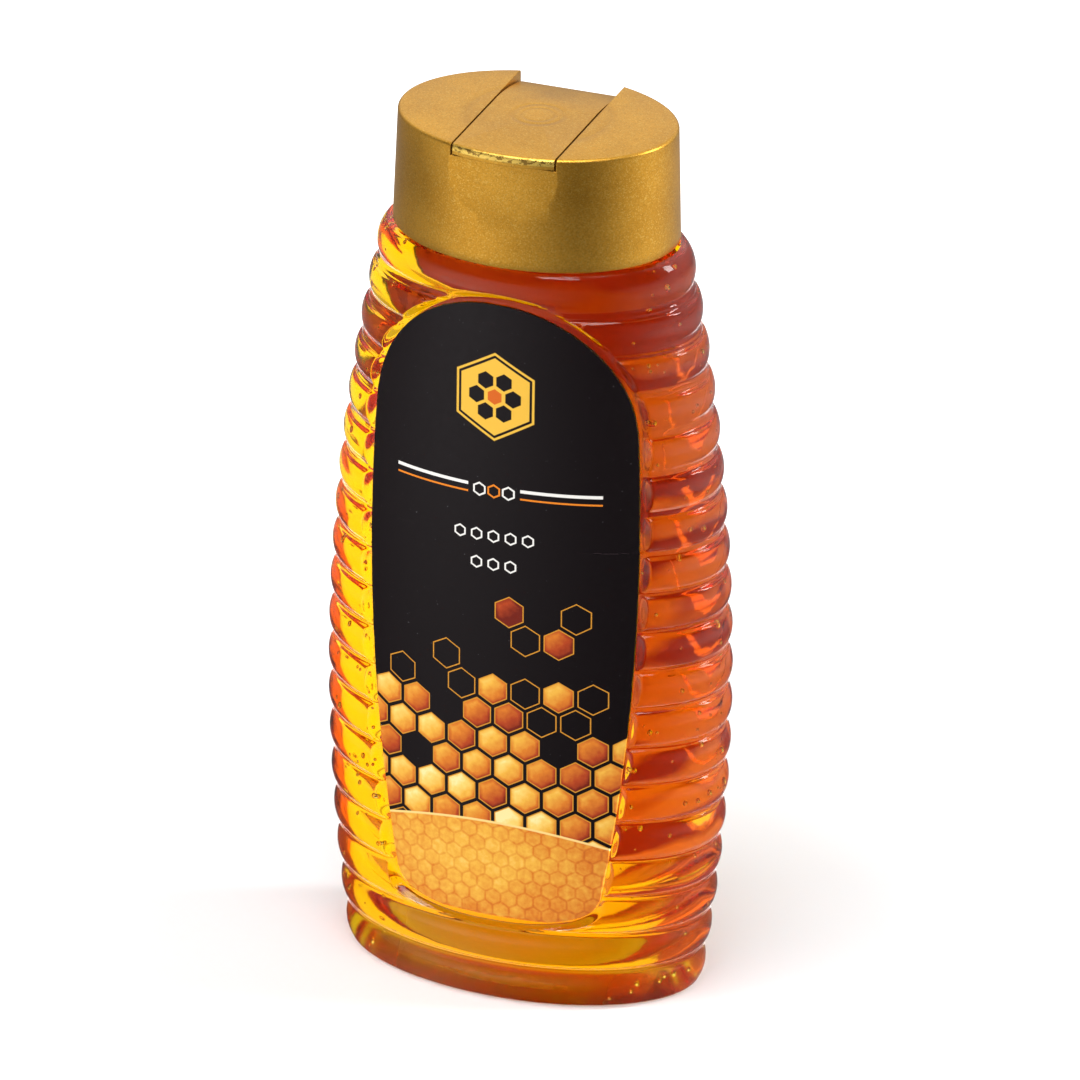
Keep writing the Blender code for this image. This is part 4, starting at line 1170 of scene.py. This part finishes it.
lid = extruded("gold_lid", lid_outline(), LID_HALF_WIDTH)
lid_blank = linked("lid_blank", lofted("lid_blank", oval_rows(cap_outside(), cap_angles)))
combined(lid, lid_blank, "INTERSECT")
for radius, wall, reach in LID_RINGS:
    ring_corners = (radius, radius - wall, LID_UNDERSIDE - reach, LID_UNDERSIDE + 0.7 * MM)
    combined(lid, turned_ring("seal_ring", ring_corners, 0.25 * MM), "UNION")
leaf_outline = arc((HINGE_Y, HINGE_Z), ROLL_RADIUS, 131, -131, 12)
leaf_outline += [(LID_REAR - 0.3 * MM, HINGE_Z + up) for up in (-LEAF_HALF, LEAF_HALF)]
combined(lid, extruded("leaf", leaf_outline, HINGE_HALF_WIDTH), "UNION")
dressed(lid, gold_plastic("gold_lid", LID_MARKS, True))
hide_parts("flip_lid")
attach(lid, "lid")


# Living hinge
# The thin web at the back that joins the lid to the cap, all one moulding. Its foot lies in the
# recess and its leaf stands up to the roll on the lid's edge, where the web bends.

(_, FOOT_INNER, FOOT_LOW), (_, FOOT_OUTER, FOOT_HIGH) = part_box("living_hinge")
LEAF_TOP = HINGE_Z - ROLL_RADIUS - HINGE_GAP
right_side = [(0.3 * MM, FOOT_HIGH), (0.14 * MM, FOOT_HIGH + 0.2 * MM), (0.1 * MM, LEAF_TOP)]
web_outline = [(FOOT_INNER, FOOT_LOW), (FOOT_OUTER, FOOT_LOW), (FOOT_OUTER, FOOT_HIGH)]
web_outline += [(HINGE_Y + off, z) for off, z in right_side]
web_outline += [(HINGE_Y - off, z) for off, z in right_side[::-1]] + [(FOOT_INNER, FOOT_HIGH)]
web = extruded("gold_hinge", web_outline, HINGE_HALF_WIDTH)
web.data.materials.append(gold_plastic("gold_web", [], False))
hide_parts("living_hinge")
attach(web, "closure")


# Studio
# A pale floor that runs off into white, soft lamps above and to both sides, and the camera at
# the photograph's place: well back with a long lens, above the bottle and to its right.

CAMERA = mm(581.107, -1601.912, 920.782)
CAMERA_TURN, CAMERA_FALL, CAMERA_ROLL = np.radians((19.886, 26.034, 0.9286))

camera_data = bpy.data.cameras.new("camera")
camera_data.sensor_width = 36.0
camera_data.lens = 333.33
camera_data.clip_end = 20.0
camera = linked("camera", camera_data)
camera.matrix_world = (
    Matrix.Translation(CAMERA)
    @ Matrix.Rotation(CAMERA_TURN, 4, "Z")
    @ Matrix.Rotation(math.pi / 2 - CAMERA_FALL, 4, "X")
    @ Matrix.Rotation(CAMERA_ROLL, 4, "Z")
)
bpy.context.scene.camera = camera

ROOM_TONES = (
    (-180, 0.10), (-150, 0.40), (-130, 1.00), (-112, 0.90), (-90, 0.40),
    (-65, 0.03), (-45, 0.03), (-20, 0.60), (10, 1.00), (40, 0.70),
    (70, 0.40), (110, 0.40), (145, 0.30), (170, 0.20), (180, 0.20),
)
FLOOR_SIZE, FLOOR_DROP = 3.0, 0.05 * MM
# The floor's lift to white far off, and its painted glow where it is seen through the honey.
FLOOR_LIFT, FLOOR_GLOW = 0.8, 1.0
WALL_CROSSINGS = 4.5
BLACK, WHITE = (0.0, 0.0, 0.0, 1.0), (1.0, 1.0, 1.0, 1.0)


def room_tone(direction):
    """A direction's X, Y and Z, and how bright the studio's card and cloth are that way."""
    x, y, z = axes(direction)
    angle = worked("ARCTAN2", y, x).spread(-math.pi, math.pi, 0.0, 1.0)
    stops = [((degrees + 180) / 360, (tone, tone, tone, 1.0)) for degrees, tone in ROOM_TONES]
    return x, y, z, ramped(angle, stops, "B_SPLINE")


def ray_kinds(tree, toward):
    """Shares for rays mirrored by a surface or the honey's skin, that look through, and soft ones.

    Light scattered inside comes in mostly from the front, where toward is below 0. The last
    value is how many surfaces a ray has passed.
    """
    rays = {s.name: Field(s) for s in added(tree, "ShaderNodeLightPath").outputs}
    seen_through, passed = rays["Is Transmission Ray"], rays["Transmission Depth"]
    glancing = (rays["Glossy Depth"] > 0.5) * (passed < WALL_CROSSINGS)
    through = worked("MAXIMUM", rays["Is Camera Ray"], seen_through) * (1.0 - glancing)
    inner = (rays["Diffuse Depth"] > 0.5) * seen_through
    through = inner * (1.3 - toward * 1.5) + through
    mirrored = worked("MAXIMUM", rays["Is Glossy Ray"], seen_through) * glancing
    return mirrored, through, rays["Is Diffuse Ray"], passed


half = FLOOR_SIZE / 2
floor_mesh = bpy.data.meshes.new("floor")
floor_corners = [(-half, -half, 0), (half, -half, 0), (half, half, 0), (-half, half, 0)]
floor_mesh.from_pydata(floor_corners, [], [(0, 1, 2, 3)])
floor = linked("floor", floor_mesh)
floor.location.z = -FLOOR_DROP
pale, tree, shader = shading(
    "pale_floor", Roughness=0.9, Specular_IOR_Level=0.0, Emission_Color=WHITE,
)
x, y, _, tone = room_tone(object_place(tree))
mirrored, through, _, passed = ray_kinds(tree, y)
near = worked("SQRT", x * x + y * y)
tone = mixed(near.spread(0.2, 0.32, 0.6, 0.0), tone, BLACK)
put(mixed(0.15, mixed(mirrored, WHITE, tone), BLACK), shader.inputs["Base Color"])
# The floor glows where it is seen through the honey: painted light standing for light that the
# honey focuses onto the floor.
glow = passed.spread(WALL_CROSSINGS - 0.1, WALL_CROSSINGS + 0.1, 0.0, FLOOR_GLOW)
lift = worked("MAXIMUM", glow, near.spread(0.07, 0.4, 0.0, FLOOR_LIFT))
put(through * lift, shader.inputs["Emission Strength"])
floor_mesh.materials.append(pale)


def lamp(name, place, aim, size, power):
    """A soft rectangular lamp that faces a point."""
    data = bpy.data.lights.new(name, "AREA")
    data.shape = "RECTANGLE"
    data.size, data.size_y = size
    data.energy = power
    made = linked(name, data)
    made.location = place
    made.rotation_mode = "QUATERNION"
    made.rotation_quaternion = (Vector(aim) - Vector(place)).to_track_quat("-Z", "Y")
    return made


MIDDLE, SHOULDER = (0.0, 0.0, 0.09), (0.0, 0.0, 0.15)
lamp("overhead_softbox", (0.0, -0.35, 1.1), MIDDLE, (0.9, 0.7), 9.0)
left = lamp("left_softbox", (-0.9, -0.7, 0.45), MIDDLE, (0.5, 0.8), 5.0)
left.visible_glossy = left.visible_transmission = False
lamp("front_strip", (0.15, -1.0, 1.15), SHOULDER, (0.5, 0.04), 0.8)
lamp("right_softbox", (1.0, 0.35, 0.75), MIDDLE, (0.2, 0.5), 7.0)

world = bpy.data.worlds.new("studio")
world.use_nodes = True
bpy.context.scene.world = world
tree = world.node_tree
_, y, z, tone = room_tone(added(tree, "ShaderNodeTexCoord").outputs["Generated"])
mirrored, through, soft, _ = ray_kinds(tree, y)
behind = y.spread(-0.1, 0.6, 0.05, 1.0)
room = mixed(z.spread(0.1, 0.3, 0.0, 1.0), tone, behind)
strength = worked("MAXIMUM", worked("MAXIMUM", room * mirrored, soft * 0.5), through)
put(strength, tree.nodes["Background"].inputs["Strength"])
tree.nodes["Background"].inputs["Color"].default_value = WHITE

bpy.context.scene.view_settings.view_transform = "Standard"
bpy.context.scene.cycles.max_bounces = 32
bpy.context.scene.cycles.transmission_bounces = 32
